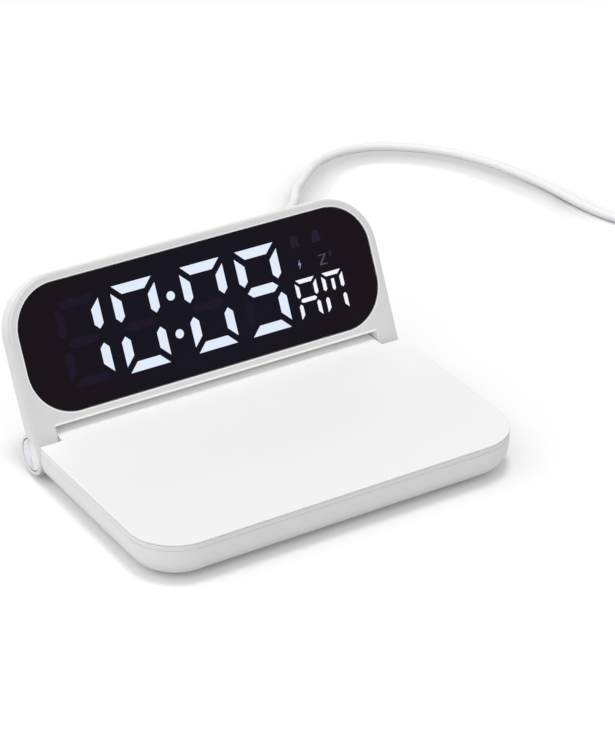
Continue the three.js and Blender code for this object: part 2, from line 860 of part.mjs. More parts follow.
function displayFrontFrame() {
  const ahead = block(-clockWidth, clockWidth, -armRadius, displayRise, splitZ + seamGap / 2, faceZ);
  const cavity = prism(cavityPlan(0), displayBack, ledgeBack);
  const ledgeHole = prism(windowPlan(ledgeWidth), displayBack, faceZ);
  const lensHole = prism(windowPlan(0), ledgeFront, faceZ + past);
  const bosses = [-1, 1].map((side) =>
    post(side * coverScrewX, coverScrewY, coverScrewBoss, coverInner + seatGap, ledgeBack + bite),
  );
  const holes = [-1, 1].map((side) =>
    post(side * coverScrewX, coverScrewY, coverShankRadius + seatGap, displayBack, ledgeBack),
  );
  const channelRoof = channelZ + displayWireRadius + seatGap;
  const channel = block(hexPocketOuter, capFloor, 0, wireChannelTop, displayBack, channelRoof);
  return displayForm()
    .intersect(ahead)
    .subtract(joined([cavity, ledgeHole, lensHole]))
    .add(joined(bosses))
    .subtract(joined([...holes, channel]));
}

const buttonY = displayRise - buttonDrop;
const buttonPlaces = ["set", "alarm", "up", "down"].map((name, i) => ({ name, x: (i - 1.5) * buttonPitch }));
const lowRowY = slotRise + lowRowRise;

function displayRearCover() {
  const behind = block(-clockWidth, clockWidth, -armRadius, displayRise, -armRadius, splitZ - seamGap / 2);
  const inner = prism(cavityPlan(seatGap), splitZ - seamGap, coverInner);
  const tabs = [-1, 1].map((side) => {
    const x = side * tabX;
    const top = cavityHigh - seatGap;
    const half = tabWidth / 2;
    return block(x - half, x + half, top - tabThickness, top, coverInner - bite, coverInner + tabReach);
  });
  const back = displayBack - past;
  const front = coverInner + past;
  const holes = buttonPlaces.map(({ x }) => post(x, buttonY, buttonRadius + seatGap, back, front));
  for (const side of [-1, 1]) {
    const x = side * coverScrewX;
    holes.push(post(x, coverScrewY, coverHeadRadius + seatGap, back, displayBack + coverHeadSink));
    holes.push(post(x, coverScrewY, coverShankRadius + seatGap, back, front));
  }
  for (let i = 0; i < soundHoleCount; i++) {
    const angle = (2 * Math.PI * i) / soundHoleCount;
    const x = buzzerX + soundHoleRing * Math.cos(angle);
    const y = lowRowY + soundHoleRing * Math.sin(angle);
    holes.push(post(x, y, soundHoleRadius, back, front, roundSides / 2));
  }
  return displayForm()
    .intersect(behind)
    .add(inner)
    .add(joined(tabs))
    .subtract(joined(holes));
}

function displayLens() {
  return prism(windowPlan(seatGap), lensBack, lensFront);
}

// The bars of one lit sign about its middle: a to g in the usual seven places, as outlines
function signBars(width, height, stroke, endGap, slantGap) {
  const a = width / 2;
  const b = height / 2;
  const slant = b - a + endGap - slantGap * Math.SQRT2;
  const tip = stroke / 2;
  const outerTop = slant + a;
  const innerTop = slant + a - stroke;
  const waist = tip + digitEndGap * (stroke / digitStroke);
  const level = [
    point(a - endGap, b),
    point(-a + endGap, b),
    point(-a + endGap + stroke, b - stroke),
    point(a - endGap - stroke, b - stroke),
  ];
  const upright = [
    point(a, outerTop),
    point(a - stroke, innerTop),
    point(a - stroke, waist + tip),
    point(a - tip, waist),
    point(a, waist + tip),
  ];
  const cross = [
    point(a - stroke - tip / 2, tip),
    point(-a + stroke + tip / 2, tip),
    point(-a + tip * 1.4, 0),
    point(-a + stroke + tip / 2, -tip),
    point(a - stroke - tip / 2, -tip),
    point(a - tip * 1.4, 0),
  ];
  const flip = (points, sx, sy) => {
    const flipped = points.map((p) => point(p.x * sx, p.y * sy));
    return sx * sy < 0 ? flipped.reverse() : flipped;
  };
  return {
    a: level,
    b: upright,
    c: flip(upright, 1, -1),
    d: flip(level, 1, -1),
    e: flip(upright, -1, -1),
    f: flip(upright, -1, 1),
    g: cross,
  };
}

function placed(outline, x, y) {
  return outline.map((p) => point(p.x + x, p.y + y));
}

// An outline drawn in towards its own middle by a fixed distance at its edges
function drawnIn(outline, inset) {
  const count = outline.length;
  return outline.map((p, i) => {
    const before = p.clone().sub(outline[(i + count - 1) % count]).normalize();
    const after = outline[(i + 1) % count].clone().sub(p).normalize();
    const inBefore = point(-before.y, before.x);
    const inAfter = point(-after.y, after.x);
    const miter = inBefore.clone().add(inAfter);
    return p.clone().addScaledVector(miter, (2 * inset) / miter.lengthSq());
  });
}

const digitBars = Object.values(signBars(digitWidth, digitHeight, digitStroke, digitEndGap, digitSlantGap));
const digitPlaces = [
  colonX - colonToDigit - digitPitch,
  colonX - colonToDigit,
  colonX + colonToDigit,
  colonX + colonToDigit + digitPitch,
];
const halfDayBars = signBars(signWidth, signHeight, signStroke, signEndGap, signSlantGap);
const halfDaySigns = [
  [halfDayBars.a, halfDayBars.b, halfDayBars.c, halfDayBars.e, halfDayBars.f, halfDayBars.g],
  [halfDayBars.a, halfDayBars.b, halfDayBars.c, halfDayBars.e, halfDayBars.f],
];
const signY = windowMiddle - signDrop;

// The lit outlines of each light guide, in the display's plane
const guideOutlines = {};
digitPlaces.forEach((x, i) => {
  guideOutlines[`digit_guide_${i + 1}`] = digitBars.map((bar) => placed(bar, x, windowMiddle));
});
guideOutlines.colon_guide = [1, -1].map((way) =>
  arc(colonX, windowMiddle + way * colonRise, colonRadius, 0, 1 - 1 / roundSides, roundSides - 1),
);
guideOutlines.half_day_guide = halfDaySigns.flatMap((bars, i) =>
  bars.map((bar) => placed(bar, signFirstX + i * signPitch, signY)),
);

function lightMask() {
  const holes = Object.values(guideOutlines).flat();
  const plate = prism(windowPlan(ledgeWidth + seatGap), maskBack, maskFront);
  return plate.subtract(joined(holes.map((outline) => prism(outline, maskBack - past, maskFront + past))));
}

// A clear plate behind the mask, with a raised bar standing in each of the mask's holes
function lightGuide(outlines) {
  const all = outlines.flat();
  const xs = all.map((p) => p.x);
  const ys = all.map((p) => p.y);
  const plate = block(
    Math.min(...xs) - guideMargin,
    Math.max(...xs) + guideMargin,
    Math.min(...ys) - guideMargin,
    Math.max(...ys) + guideMargin,
    guideBack,
    guideFront,
  );
  const bars = outlines.map((outline) => prism(drawnIn(outline, guideFit), guideBack, maskFront - seatGap));
  return plate.add(joined(bars));
}

function displayBoard() {
  const low = cavityLow + displayBoardInset;
  const high = cavityHigh - displayBoardInset;
  const outline = roundedRect(-displayBoardHalf, displayBoardHalf, low, high, displayBoardInset);
  return prism(outline, displayBoardBack, displayBoardFront);
}

const behindBoard = displayBoardBack - seatGap;

function clockChip() {
  const half = clockChipSide / 2;
  return block(
    clockChipX - half,
    clockChipX + half,
    lowRowY - half,
    lowRowY + half,
    behindBoard - clockChipHeight,
    behindBoard,
  );
}

function backupCell() {
  return post(cellX, lowRowY, cellRadius, behindBoard - cellHeight, behindBoard);
}

function cellHolder() {
  const inner = cellRadius + seatGap;
  const ring = post(cellX, lowRowY, inner + holderRim, behindBoard - holderHeight, behindBoard);
  return ring.subtract(post(cellX, lowRowY, inner, behindBoard - holderHeight - past, behindBoard + past));
}

function buzzer() {
  return post(buzzerX, lowRowY, buzzerRadius, behindBoard - buzzerHeight, behindBoard);
}

function buttonSwitch({ x }) {
  const half = switchSide / 2;
  return block(x - half, x + half, buttonY - half, buttonY + half, behindBoard - switchHeight, behindBoard);
}

// A setting button: a cap that stands out of the rear cover, with a flange inside that keeps it in
function settingButton({ x }) {
  const outer = displayBack - buttonProud;
  const flangeBack = coverInner + seatGap;
  const profile = [
    point(0, outer),
    point(buttonRadius - buttonEdge, outer),
    point(buttonRadius, outer + buttonEdge),
    point(buttonRadius, flangeBack),
    point(buttonRadius + buttonFlange, flangeBack),
    point(buttonRadius + buttonFlange, flangeBack + buttonFlangeHeight),
    point(0, flangeBack + buttonFlangeHeight),
  ];
  return turned(profile, x, buttonY);
}

function coverScrew(side) {
  const headZ = displayBack + coverHeadSink - seatGap - coverHeadHeight;
  const tip = ledgeBack - seatGap;
  const x = side * coverScrewX;
  return screw(x, coverScrewY, headZ, coverHeadHeight, coverHeadRadius, coverShankRadius, tip);
}

// A hollow pin: round in the base's bush, and a hexagon that the arm turns with it
function hingePin(side) {
  const inner = tongueHalf - bushLength - pinInnerReach;
  const shank = rodX(...sided(side, inner, hexInner + bite), 0, 0, pinRadius);
  const head = rodX(...sided(side, hexInner, hexOuter), 0, 0, hexRadius, 6);
  return shank.add(head).subtract(rodX(-clockWidth, clockWidth, 0, 0, pinBoreRadius, roundSides / 2));
}

function hingeCap(side) {
  const profile = [
    point(0, 0),
    point(capRadius, 0),
    point(capRadius, capThickness - capEdge),
    point(capRadius - capEdge, capThickness),
    point(0, capThickness),
  ];
  const geometry = new THREE.LatheGeometry(profile, armSides);
  geometry.rotateZ(side < 0 ? Math.PI / 2 : -Math.PI / 2);
  geometry.translate(side * capInner, 0, 0);
  return toSolid(geometry);
}

// The same wire goes on from the hinge axis, up the right arm and behind the display board
function hingeWireDisplay() {
  const x = (hexPocketOuter + capFloor) / 2;
  const behind = behindBoard - displayWireRadius;
  const points = [
    new THREE.Vector3(x, -displayWireRadius, 0),
    new THREE.Vector3(x, capRadius / 5, 0.25),
    new THREE.Vector3(x, capRadius * 0.72, channelZ),
    new THREE.Vector3(x, slotRise, channelZ),
    new THREE.Vector3(x, wireChannelTop - 4, channelZ),
    new THREE.Vector3(x - 2.2, wireChannelTop, behind),
    new THREE.Vector3(x - 6, wireChannelTop + 1.5, behind),
    new THREE.Vector3(displayBoardHalf - 4, wireChannelTop + 2, behind),
  ];
  return cable(points, displayWireRadius, leadSides, 24);
}

// The power lead's USB-C end
const gripFront = hingeY + hingeDepth + seatGap;
const gripRear = gripFront + gripLength;
const reliefRear = gripRear + reliefLength;

// The plug's metal shell, with its mouth inwards, in the socket
function usbCPlugShell() {
  const half = plugShellWidth / 2;
  const high = plugShellHeight / 2;
  const rear = gripFront - seatGap;
  const front = rear - plugShellLength;
  const body = block(socketX - half, socketX + half, front, rear, socketZ - high, socketZ + high);
  const mouthHalf = half - plugShellWall;
  const mouthHigh = high - plugShellWall;
  const mouthDepth = contactTongueLength + plugShellWall;
  const mouth = block(
    socketX - mouthHalf,
    socketX + mouthHalf,
    front - past,
    front + mouthDepth,
    socketZ - mouthHigh,
    socketZ + mouthHigh,
  );
  return body.subtract(mouth);
}

// The moulded grip and its tapered relief, where the lead comes out
function usbCPlugGrip() {
  const half = gripWidth / 2;
  const high = gripHeight / 2;
  const grip = prism(roundedRect(-half, half, -high, high, gripCorner), 0, gripLength);
  const relief = turned(
    [
      point(0, gripLength - bite),
      point(reliefRadius, gripLength - bite),
      point(leadDiameter / 2 + seatGap, gripLength + reliefLength),
      point(0, gripLength + reliefLength),
    ],
    0,
    0,
  );
  const upright = toGeometry(grip.add(relief));
  upright.rotateX(-Math.PI / 2);
  upright.translate(socketX, gripFront, socketZ);
  return toSolid(upright);
}

// The wound part of the lead spirals in, climbs a layer as the spiral turns back, and spirals out on top
const windEntry = THREE.MathUtils.degToRad(windEntryDegrees);
const windOuter = windMeanDiameter / 2 + (windPitch * windTurns) / 4;
const windLowZ = windLift + leadDiameter / 2;
const windWay = new THREE.Vector3(-Math.sin(windEntry), Math.cos(windEntry), 0);
const climbHalf = 0.25; // a quarter turn each side of the middle
const plugAZ = plugAGripHeight / 2;

function windPlace(turn) {
  const angle = windEntry + 2 * Math.PI * turn;
  const radius = windOuter - windPitch * Math.min(turn, windTurns - turn);
  const climb = THREE.MathUtils.smoothstep(turn, windTurns / 2 - climbHalf, windTurns / 2 + climbHalf);
  return new THREE.Vector3(
    windCentreX + radius * Math.cos(angle),
    windCentreY + radius * Math.sin(angle),
    windLowZ + windLayerRise * climb,
  );
}

const windCentres = [windPlace(0).addScaledVector(windWay, -leadDiameter)];
for (let i = 0; i <= windTurns * windSteps; i++) windCentres.push(windPlace(i / windSteps));
const windExit = windCentres.at(-1);
const runOutSteps = 6;
for (let i = 1; i <= runOutSteps; i++) {
  const run = (windRunOut * i) / runOutSteps;
  const along = windExit.clone().addScaledVector(windWay, run);
  const fall = THREE.MathUtils.smoothstep(run, windRunOut / 4, windRunOut - leadDiameter);
  along.z = THREE.MathUtils.lerp(windExit.z, plugAZ, fall);
  windCentres.push(along);
}
const windStart = windCentres[0];

// The free lead, in the places where it lies on the table behind and beside the clock
const leadRest = leadDiameter / 2 + leadLift;
const leadRoute = [
  new THREE.Vector3(socketX, reliefRear + seatGap, socketZ),
  new THREE.Vector3(socketX, reliefRear + 8, socketZ),
  new THREE.Vector3(30.6, 85.5, 4.2),
  new THREE.Vector3(33, 96, 2.7),
  new THREE.Vector3(38.5, 108, 2),
  new THREE.Vector3(48, 120, leadRest),
  new THREE.Vector3(60, 130.5, leadRest),
  new THREE.Vector3(74, 139.5, leadRest),
  new THREE.Vector3(89, 147.5, leadRest),
  new THREE.Vector3(104, 156.5, leadRest),
  new THREE.Vector3(112.5, 162.8, leadRest),
  new THREE.Vector3(118.2, 168.9, leadRest),
  new THREE.Vector3(122.6, 175.3, leadRest),
  new THREE.Vector3(128.9, 181.3, leadRest),
  new THREE.Vector3(136.8, 188.2, leadRest),
  new THREE.Vector3(145, 194, leadRest),
  new THREE.Vector3(153, 196.9, leadRest),
  new THREE.Vector3(161.2, 197.9, leadRest),
  new THREE.Vector3(173.7, 195.3, leadRest),
  new THREE.Vector3(186.7, 186.7, leadRest),
  new THREE.Vector3(199.4, 172.3, leadRest),
  new THREE.Vector3(208.5, 153.1, leadRest),
  new THREE.Vector3(214.1, 130.4, leadRest),
  new THREE.Vector3(215.7, 118.5, leadRest),
  new THREE.Vector3(216.5, 107, leadRest),
  new THREE.Vector3(217.8, 97, leadRest),
  new THREE.Vector3(219.9, 87.5, leadRest + 0.2),
  windStart.clone().addScaledVector(windWay, -leadDiameter * 2),
  windStart.clone().addScaledVector(windWay, -seatGap),
];

// A band round the whole bundle of turns
function cordTie() {
  const middle = (windOuter + windOuter - (windPitch * windTurns) / 2) / 2;
  const half = (windPitch * windTurns) / 4 + leadDiameter / 2 + 2 * seatGap + tieWidth / 20;
  const top = windLift + leadDiameter + windLayerRise + seatGap;
  const round = leadDiameter / 2;
  const outerHalf = half + tieThickness;
  const outer = roundedRect(-outerHalf, outerHalf, 0, top + tieThickness, round);
  const inner = roundedRect(-half, half, tieThickness, top, round - tieThickness);
  const band = prism(outer, -tieWidth / 2, tieWidth / 2).subtract(prism(inner, -tieWidth, tieWidth));
  const geometry = toGeometry(band);
  const angle = THREE.MathUtils.degToRad(tieDegrees);
  geometry.rotateX(Math.PI / 2);
  geometry.translate(middle, 0, 0);
  geometry.rotateZ(angle);
  geometry.translate(windCentreX, windCentreY, 0);
  return toSolid(geometry);
}

// A piece drawn along +Z from the lead's end, laid along the lead's way
function atRunOut(solid) {
  const end = windCentres.at(-1).clone().addScaledVector(windWay, seatGap);
  const geometry = toGeometry(solid);
  const turn = new THREE.Matrix4().makeBasis(
    windWay.clone().cross(new THREE.Vector3(0, 0, 1)).negate(),
    new THREE.Vector3(0, 0, 1),
    windWay,
  );
  geometry.applyMatrix4(turn);
  geometry.translate(end.x, end.y, end.z);
  return toSolid(geometry);
}

function usbAPlugGrip() {
  const half = plugAGripWidth / 2;
  const high = plugAGripHeight / 2;
  return atRunOut(prism(roundedRect(-half, half, -high, high, plugAGripCorner), 0, plugAGripLength));
}

function usbAPlugShell() {
  const half = plugAShellWidth / 2;
  const high = plugAShellHeight / 2;
  const from = plugAGripLength + seatGap;
  const to = from + plugAShellLength;
  const wall = plugAShellWall;
  const room = block(-half + wall, half - wall, -wall / 2, high - wall, from + wall, to + past);
  return atRunOut(block(-half, half, -high, high, from, to).subtract(room));
}

function finish(color, roughness, metalness = 0) {
  return new THREE.MeshStandardMaterial({ color, roughness, metalness });
}

const whitePlastic = () => finish(0xf1f1f0, 0.42);
const capPlastic = () => finish(0xf3f2f6, 0.3);
const blackLens = () => finish(0x1c181e, 0.06);
const blackPlastic = () => finish(0x18181a, 0.6);
const clearGuide = () => finish(0xdfe8f5, 0.35);
const rubber = () => finish(0x8f8f90, 0.85);
const steel = () => finish(0xb9bbbd, 0.35, 1);
const brass = () => finish(0xb8944e, 0.35, 1);
const copper = () => finish(0xb4643a, 0.4, 1);
const ferrite = () => finish(0x3a3836, 0.7);
const greenBoard = () => finish(0x1f5a3a, 0.55);
const tin = () => finish(0xc4c6c8, 0.3, 1);
const whiteJacket = () => finish(0xf4f4f4, 0.5);

const clock = new THREE.Group();
const base = new THREE.Group();
base.position.set(0, hingeY, 0);
const display = new THREE.Group();
display.position.set(0, hingeY, hingeZ);
display.rotation.x = Math.PI / 2 - lean;
const lead = new THREE.Group();
clock.add(base, display, lead);

function add(group, name, solid, material) {
  const mesh = new THREE.Mesh(toGeometry(solid), material);
  mesh.name = name;
  group.add(mesh);
}

add(base, "base_bottom_shell", baseBottomShell(), whitePlastic());
add(base, "base_top_cover", baseTopCover(), whitePlastic());
for (const place of footPlaces) add(base, place.name, foot(place), rubber());
for (const place of caseScrewPlaces) add(base, place.name, caseScrew(place), steel());
add(base, "coil_carrier", coilCarrier(), blackPlastic());
add(base, "ferrite_sheet", ferriteSheet(), ferrite());
add(base, "charging_coil", wound(coilCentres, coilWire / 2, windSides), copper());
add(base, "charger_board", chargerBoard(), greenBoard());
add(base, "charger_chip", onChargerBoard(4, 3, chipSide, chipSide, chipHeight), blackPlastic());
add(base, "power_inductor", onChargerBoard(15, 3, inductorSide, inductorSide, inductorHeight), ferrite());
add(
  base,
  "resonance_capacitor",
  onChargerBoard(4, 13, capacitorLength, capacitorWidth, capacitorHeight),
  finish(0x9a5a3c, 0.5),
);
add(base, "usb_socket", usbSocket(), tin());
add(base, "hinge_bush_left", hingeBush(-1), brass());
add(base, "hinge_bush_right", hingeBush(1), brass());
add(base, "hinge_wire_base", hingeWireBase(), blackPlastic());

add(display, "display_front_frame", displayFrontFrame(), whitePlastic());
add(display, "display_rear_cover", displayRearCover(), whitePlastic());
add(display, "display_lens", displayLens(), blackLens());
add(display, "light_mask", lightMask(), blackPlastic());
for (const [name, outlines] of Object.entries(guideOutlines)) {
  add(display, name, lightGuide(outlines), clearGuide());
}
add(display, "display_board", displayBoard(), greenBoard());
add(display, "clock_chip", clockChip(), blackPlastic());
add(display, "backup_cell", backupCell(), steel());
add(display, "cell_holder", cellHolder(), blackPlastic());
add(display, "buzzer", buzzer(), blackPlastic());
for (const place of buttonPlaces) {
  add(display, `switch_${place.name}`, buttonSwitch(place), blackPlastic());
  add(display, `button_${place.name}`, settingButton(place), whitePlastic());
}
add(display, "cover_screw_left", coverScrew(-1), steel());
add(display, "cover_screw_right", coverScrew(1), steel());
add(display, "hinge_pin_left", hingePin(-1), steel());
add(display, "hinge_pin_right", hingePin(1), steel());
add(display, "hinge_cap_left", hingeCap(-1), capPlastic());
add(display, "hinge_cap_right", hingeCap(1), capPlastic());
add(display, "hinge_wire_display", hingeWireDisplay(), blackPlastic());

add(lead, "usb_c_plug_shell", usbCPlugShell(), tin());
add(lead, "usb_c_plug_grip", usbCPlugGrip(), whiteJacket());
add(lead, "cord_lead", cable(leadRoute, leadDiameter / 2, leadSides, leadSteps), whiteJacket());
add(lead, "cord_coil", wound(windCentres, leadDiameter / 2, windSides), whiteJacket());
add(lead, "cord_tie", cordTie(), blackPlastic());
add(lead, "usb_a_plug_grip", usbAPlugGrip(), whiteJacket());
add(lead, "usb_a_plug_shell", usbAPlugShell(), tin());

const leadCurve = new THREE.CatmullRomCurve3(leadRoute, false, "centripetal");
const coilGap = leastSelfGap(coilCentres, coilWire, windSteps);
const windGap = leastSelfGap(windCentres, leadDiameter, windSteps);
const leadLength = leadCurve.getLength() + lineLength(windCentres);
console.log("least gap in the charging coil, mm:", coilGap.toFixed(2));
console.log("least gap in the wound lead, mm:", windGap.toFixed(2));
console.log("lead length, mm:", leadLength.toFixed(0));

export default clock;
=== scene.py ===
import json
import math

import bmesh
import bpy
from mathutils import Matrix, Vector


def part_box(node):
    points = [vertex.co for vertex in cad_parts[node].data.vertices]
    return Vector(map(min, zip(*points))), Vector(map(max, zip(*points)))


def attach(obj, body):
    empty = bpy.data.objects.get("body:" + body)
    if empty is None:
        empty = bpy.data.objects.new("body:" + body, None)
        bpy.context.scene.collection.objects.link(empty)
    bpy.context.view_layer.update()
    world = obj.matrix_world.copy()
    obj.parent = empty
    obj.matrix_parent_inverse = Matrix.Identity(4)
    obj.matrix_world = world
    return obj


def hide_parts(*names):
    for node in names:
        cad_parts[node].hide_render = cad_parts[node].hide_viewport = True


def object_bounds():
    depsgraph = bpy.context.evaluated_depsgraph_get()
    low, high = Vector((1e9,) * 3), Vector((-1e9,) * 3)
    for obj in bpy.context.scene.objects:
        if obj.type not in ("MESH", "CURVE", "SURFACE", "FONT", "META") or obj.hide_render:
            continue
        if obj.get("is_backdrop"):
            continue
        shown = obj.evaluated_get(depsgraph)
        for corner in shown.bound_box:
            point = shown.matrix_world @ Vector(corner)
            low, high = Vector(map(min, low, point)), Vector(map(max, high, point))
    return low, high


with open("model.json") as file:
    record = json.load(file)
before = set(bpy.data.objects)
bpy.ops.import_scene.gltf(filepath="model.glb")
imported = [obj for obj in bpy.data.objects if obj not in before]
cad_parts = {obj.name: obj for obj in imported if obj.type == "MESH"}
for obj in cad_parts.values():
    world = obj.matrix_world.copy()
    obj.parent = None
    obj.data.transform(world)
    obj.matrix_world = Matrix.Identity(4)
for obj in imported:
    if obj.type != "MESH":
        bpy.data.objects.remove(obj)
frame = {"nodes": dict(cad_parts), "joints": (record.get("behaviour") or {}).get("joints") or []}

cad_low, cad_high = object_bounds()


# Base bottom shell.
# The lower half of the base is one thin-walled moulding in satin white plastic, open at the top.
# Its sides curve in to a flat underside, and the tongue at its rear carries the hinge and power socket.
mm = 0.001
hands = (("left", -1), ("right", 1))
fold = frame["joints"][0]
hinge_y = fold["pos_m"][1] / mm
hinge_z = fold["pos_m"][2] / mm


def cad_box(name):
    """The lowest and the highest corner of a solid, in millimetres."""
    return [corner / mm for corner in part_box(name)]


shell_low, shell_high = cad_box("base_bottom_shell")
cover_low, cover_high = cad_box("base_top_cover")
clock_width = cover_high.x - cover_low.x
half_width = clock_width / 2
hinge_to_front = hinge_y - cover_low.y
tongue_reach = shell_high.y - hinge_y
foot_stand = shell_low.z
base_top = cover_high.z
seam_room = 0.3
seam_gap = 0.12
shell_rim = shell_high.z + (seam_room - seam_gap) / 2
base_corner = 18.0
lower_round = 8.7
tongue_lower_round = 1.5
side_draft = 0.25
cover_edge_round = 0.3
shell_wall = 2.0
tongue_rear_wall = 4.0
floor_top = foot_stand + shell_wall
arm_width = 8.4
arm_radius = 7.6
arm_room = 0.4
pad_rear = -(arm_radius + arm_room)
slot_half = half_width - arm_width
tongue_half = slot_half - 0.5
seat_gap = 0.3
crisp_angle = math.radians(50)
plan_steps = 28
round_steps = 14
round_sides = 48

# A cutter reaches past what it cuts, and a piece that is joined bites into what carries it.
past = 1.0
bite = 0.5


def on_base(x, y, z):
    """A place in millimetres beside the hinge axis, in the shared frame in metres."""
    return Vector((x, hinge_y + y, z)) * mm


def arc(centre_x, centre_y, radius, from_turn, to_turn, steps):
    """Points along a part of a circle, where a whole turn is one."""
    points = []
    for i in range(steps + 1):
        angle = 2 * math.pi * (from_turn + (to_turn - from_turn) * i / steps)
        points.append((centre_x + radius * math.cos(angle), centre_y + radius * math.sin(angle)))
    return points


def circle(x, y, radius, sides):
    return arc(x, y, radius, 0, 1 - 1 / sides, sides - 1)


def quarter_turn(steps):
    return [math.pi / 2 * i / steps for i in range(steps + 1)]


def placed(name, data):
    """Puts a mesh, a curve, a lamp or a camera into the scene."""
    piece = bpy.data.objects.new(name, data)
    bpy.context.scene.collection.objects.link(piece)
    return piece


def meshed(name, corners, faces):
    mesh = bpy.data.meshes.new(name)
    mesh.from_pydata(corners, [], faces)
    mesh.update()
    return placed(name, mesh)


def lofts(name, bodies, place):
    """One mesh of closed bodies, each through its own rings of equally many points."""
    corners = []
    faces = []
    for rings in bodies:
        count = len(rings[0])
        first = len(corners)
        last = first + (len(rings) - 1) * count
        corners += [place(*corner) for ring in rings for corner in ring]
        faces.append(list(range(first, first + count))[::-1])
        for start in range(first, last, count):
            for i in range(count):
                j = (i + 1) % count
                faces.append([start + i, start + j, start + count + j, start + count + i])
        faces.append(list(range(last, last + count)))
    return meshed(name, corners, faces)


def loft(name, rings, place):
    return lofts(name, [rings], place)


def at_levels(plan, levels):
    return [[(x, y, z) for x, y in plan] for z in levels]


def slab(name, plan, z0, z1, place):
    return loft(name, at_levels(plan, (z0, z1)), place)


def block(x0, x1, y0, y1, z0, z1, place):
    x0, x1 = sorted((x0, x1))
    return slab("block", [(x0, y0), (x1, y0), (x1, y1), (x0, y1)], z0, z1, place)


def post(x, y, radius, z0, z1, place, sides=round_sides):
    return slab("post", circle(x, y, radius, sides), z0, z1, place)


def rod(x0, x1, y, z, radius, place, sides=round_sides):
    """A round bar along X."""
    plan = circle(y, z, radius, sides)
    return loft("rod", [[(x, p, q) for p, q in plan] for x in sorted((x0, x1))], place)


def turned(name, profile, x, y, place, sides=round_sides):
    """A body turned about an upright line; the profile gives radius and height, from foot to top."""
    rings = [[(p, q, z) for p, q in circle(x, y, radius, sides)] for radius, z in profile]
    return loft(name, rings, place)


def baked(piece):
    """Makes what the piece's modifiers give its own mesh."""
    bpy.context.view_layer.update()
    seen = piece.evaluated_get(bpy.context.evaluated_depsgraph_get())
    mesh = bpy.data.meshes.new_from_object(seen)
    piece.modifiers.clear()
    piece.data = mesh
    return piece


def worked(piece, how, tools):
    """Cuts tools out of a piece (DIFFERENCE), joins them (UNION) or keeps what they share (INTERSECT)."""
    for tool in tools:
        step = piece.modifiers.new(how, "BOOLEAN")
        step.operation = how
        step.solver = "MANIFOLD"
        step.object = tool
    baked(piece)
    for tool in tools:
        bpy.data.objects.remove(tool)
    return piece


def even_shading(piece):
    """Shades a piece smoothly, but leaves the edges crisp where its faces turn sharply."""
    mesh = bmesh.new()
    mesh.from_mesh(piece.data)
    for face in mesh.faces:
        face.smooth = True
    for edge in mesh.edges:
        edge.smooth = edge.calc_face_angle(0.0) < crisp_angle
    mesh.to_mesh(piece.data)
    mesh.free()
    even = piece.modifiers.new("even_shading", "WEIGHTED_NORMAL")
    even.weight = 90
    even.keep_sharp = True
    return piece


def eased(piece, width, segments=2):
    """Rounds a piece's sharp edges a little and shades the rest smoothly."""
    flat = piece.modifiers.new("whole_faces", "DECIMATE")
    flat.decimate_type = "DISSOLVE"
    flat.angle_limit = math.radians(0.4)
    bevel = piece.modifiers.new("eased_edges", "BEVEL")
    bevel.width = width * mm
    bevel.segments = segments
    bevel.limit_method = "ANGLE"
    bevel.angle_limit = math.radians(38)
    bevel.miter_outer = "MITER_ARC"
    baked(piece)
    return even_shading(piece)


def front_corners(inset):
    """The base's outline from its left side round both front corners to its right side."""
    half = half_width - inset
    front = -hinge_to_front + inset
    radius = base_corner - inset
    corners = arc(-half + radius, front + radius, radius, 0.5, 0.75, plan_steps)
    corners += arc(half - radius, front + radius, radius, 0.75, 1.0, plan_steps)
    return corners


def base_ring(inset, rear_end, z, rear_inset=0.0):
    """The base's plan at one height, with the tongue's end at rear_end."""
    half = half_width - inset
    tongue = tongue_half - rear_inset
    shoulder = pad_rear - rear_inset
    plan = [(tongue, rear_end), (-tongue, rear_end), (-tongue, shoulder), (-half, shoulder)]
    plan += front_corners(inset)
    plan += [(half, shoulder), (tongue, shoulder)]
    return [(x, y, z) for x, y in plan]


def tongue_end(z):
    """How far behind the hinge axis the tongue's outside is, at one height."""
    if z > hinge_z:
        return math.sqrt(max(tongue_reach**2 - (z - hinge_z) ** 2, 0.0))
    depth = foot_stand + tongue_lower_round - z
    if depth > 0:
        return tongue_reach - tongue_lower_round + math.sqrt(tongue_lower_round**2 - depth**2)
    return tongue_reach


def side_inset(z):
    """How far the pad's sides are drawn in above the lower round, at one height."""
    edge_z = base_top - cover_edge_round
    if z > edge_z:
        return cover_edge_round - math.sqrt(max(cover_edge_round**2 - (z - edge_z) ** 2, 0.0))
    return side_draft * (edge_z - z) / (edge_z - foot_stand - lower_round)


def new_finish(name):
    """A new material, its node tree and its shader."""
    material = bpy.data.materials.new(name)
    material.use_nodes = True
    return material, material.node_tree, material.node_tree.nodes["Principled BSDF"]


def feed(tree, node, feeds):
    """Links other nodes' outputs to a node's inputs, or sets the inputs to plain values."""
    for key, value in feeds.items():
        socket = node.inputs[key]
        if isinstance(value, bpy.types.NodeSocket):
            tree.links.new(value, socket)
        elif socket.type == "RGBA":
            socket.default_value = (*value, 1)
        else:
            socket.default_value = value


def made(tree, kind, output, feeds, **settings):
    """Adds a node with its settings, feeds it, and gives the output that is asked for."""
    node = tree.nodes.new("ShaderNode" + kind)
    for setting, value in settings.items():
        setattr(node, setting, value)
    feed(tree, node, feeds)
    return node.outputs[output]


def own_place(tree):
    """The place on a piece, in its own measure."""
    return made(tree, "TexCoord", "Object", {})


def cloud(tree, scale, detail):
    """A soft random pattern that keeps its place on the piece."""
    return made(tree, "TexNoise", "Fac", {"Vector": own_place(tree), "Scale": scale, "Detail": detail})


def ranged(tree, value, low, high):
    return made(tree, "MapRange", "Result", {"Value": value, "To Min": low, "To Max": high})


def blend(tree, share, first, second):
    return made(tree, "Mix", "Result", {"Factor": share, "A": first, "B": second}, data_type="RGBA")


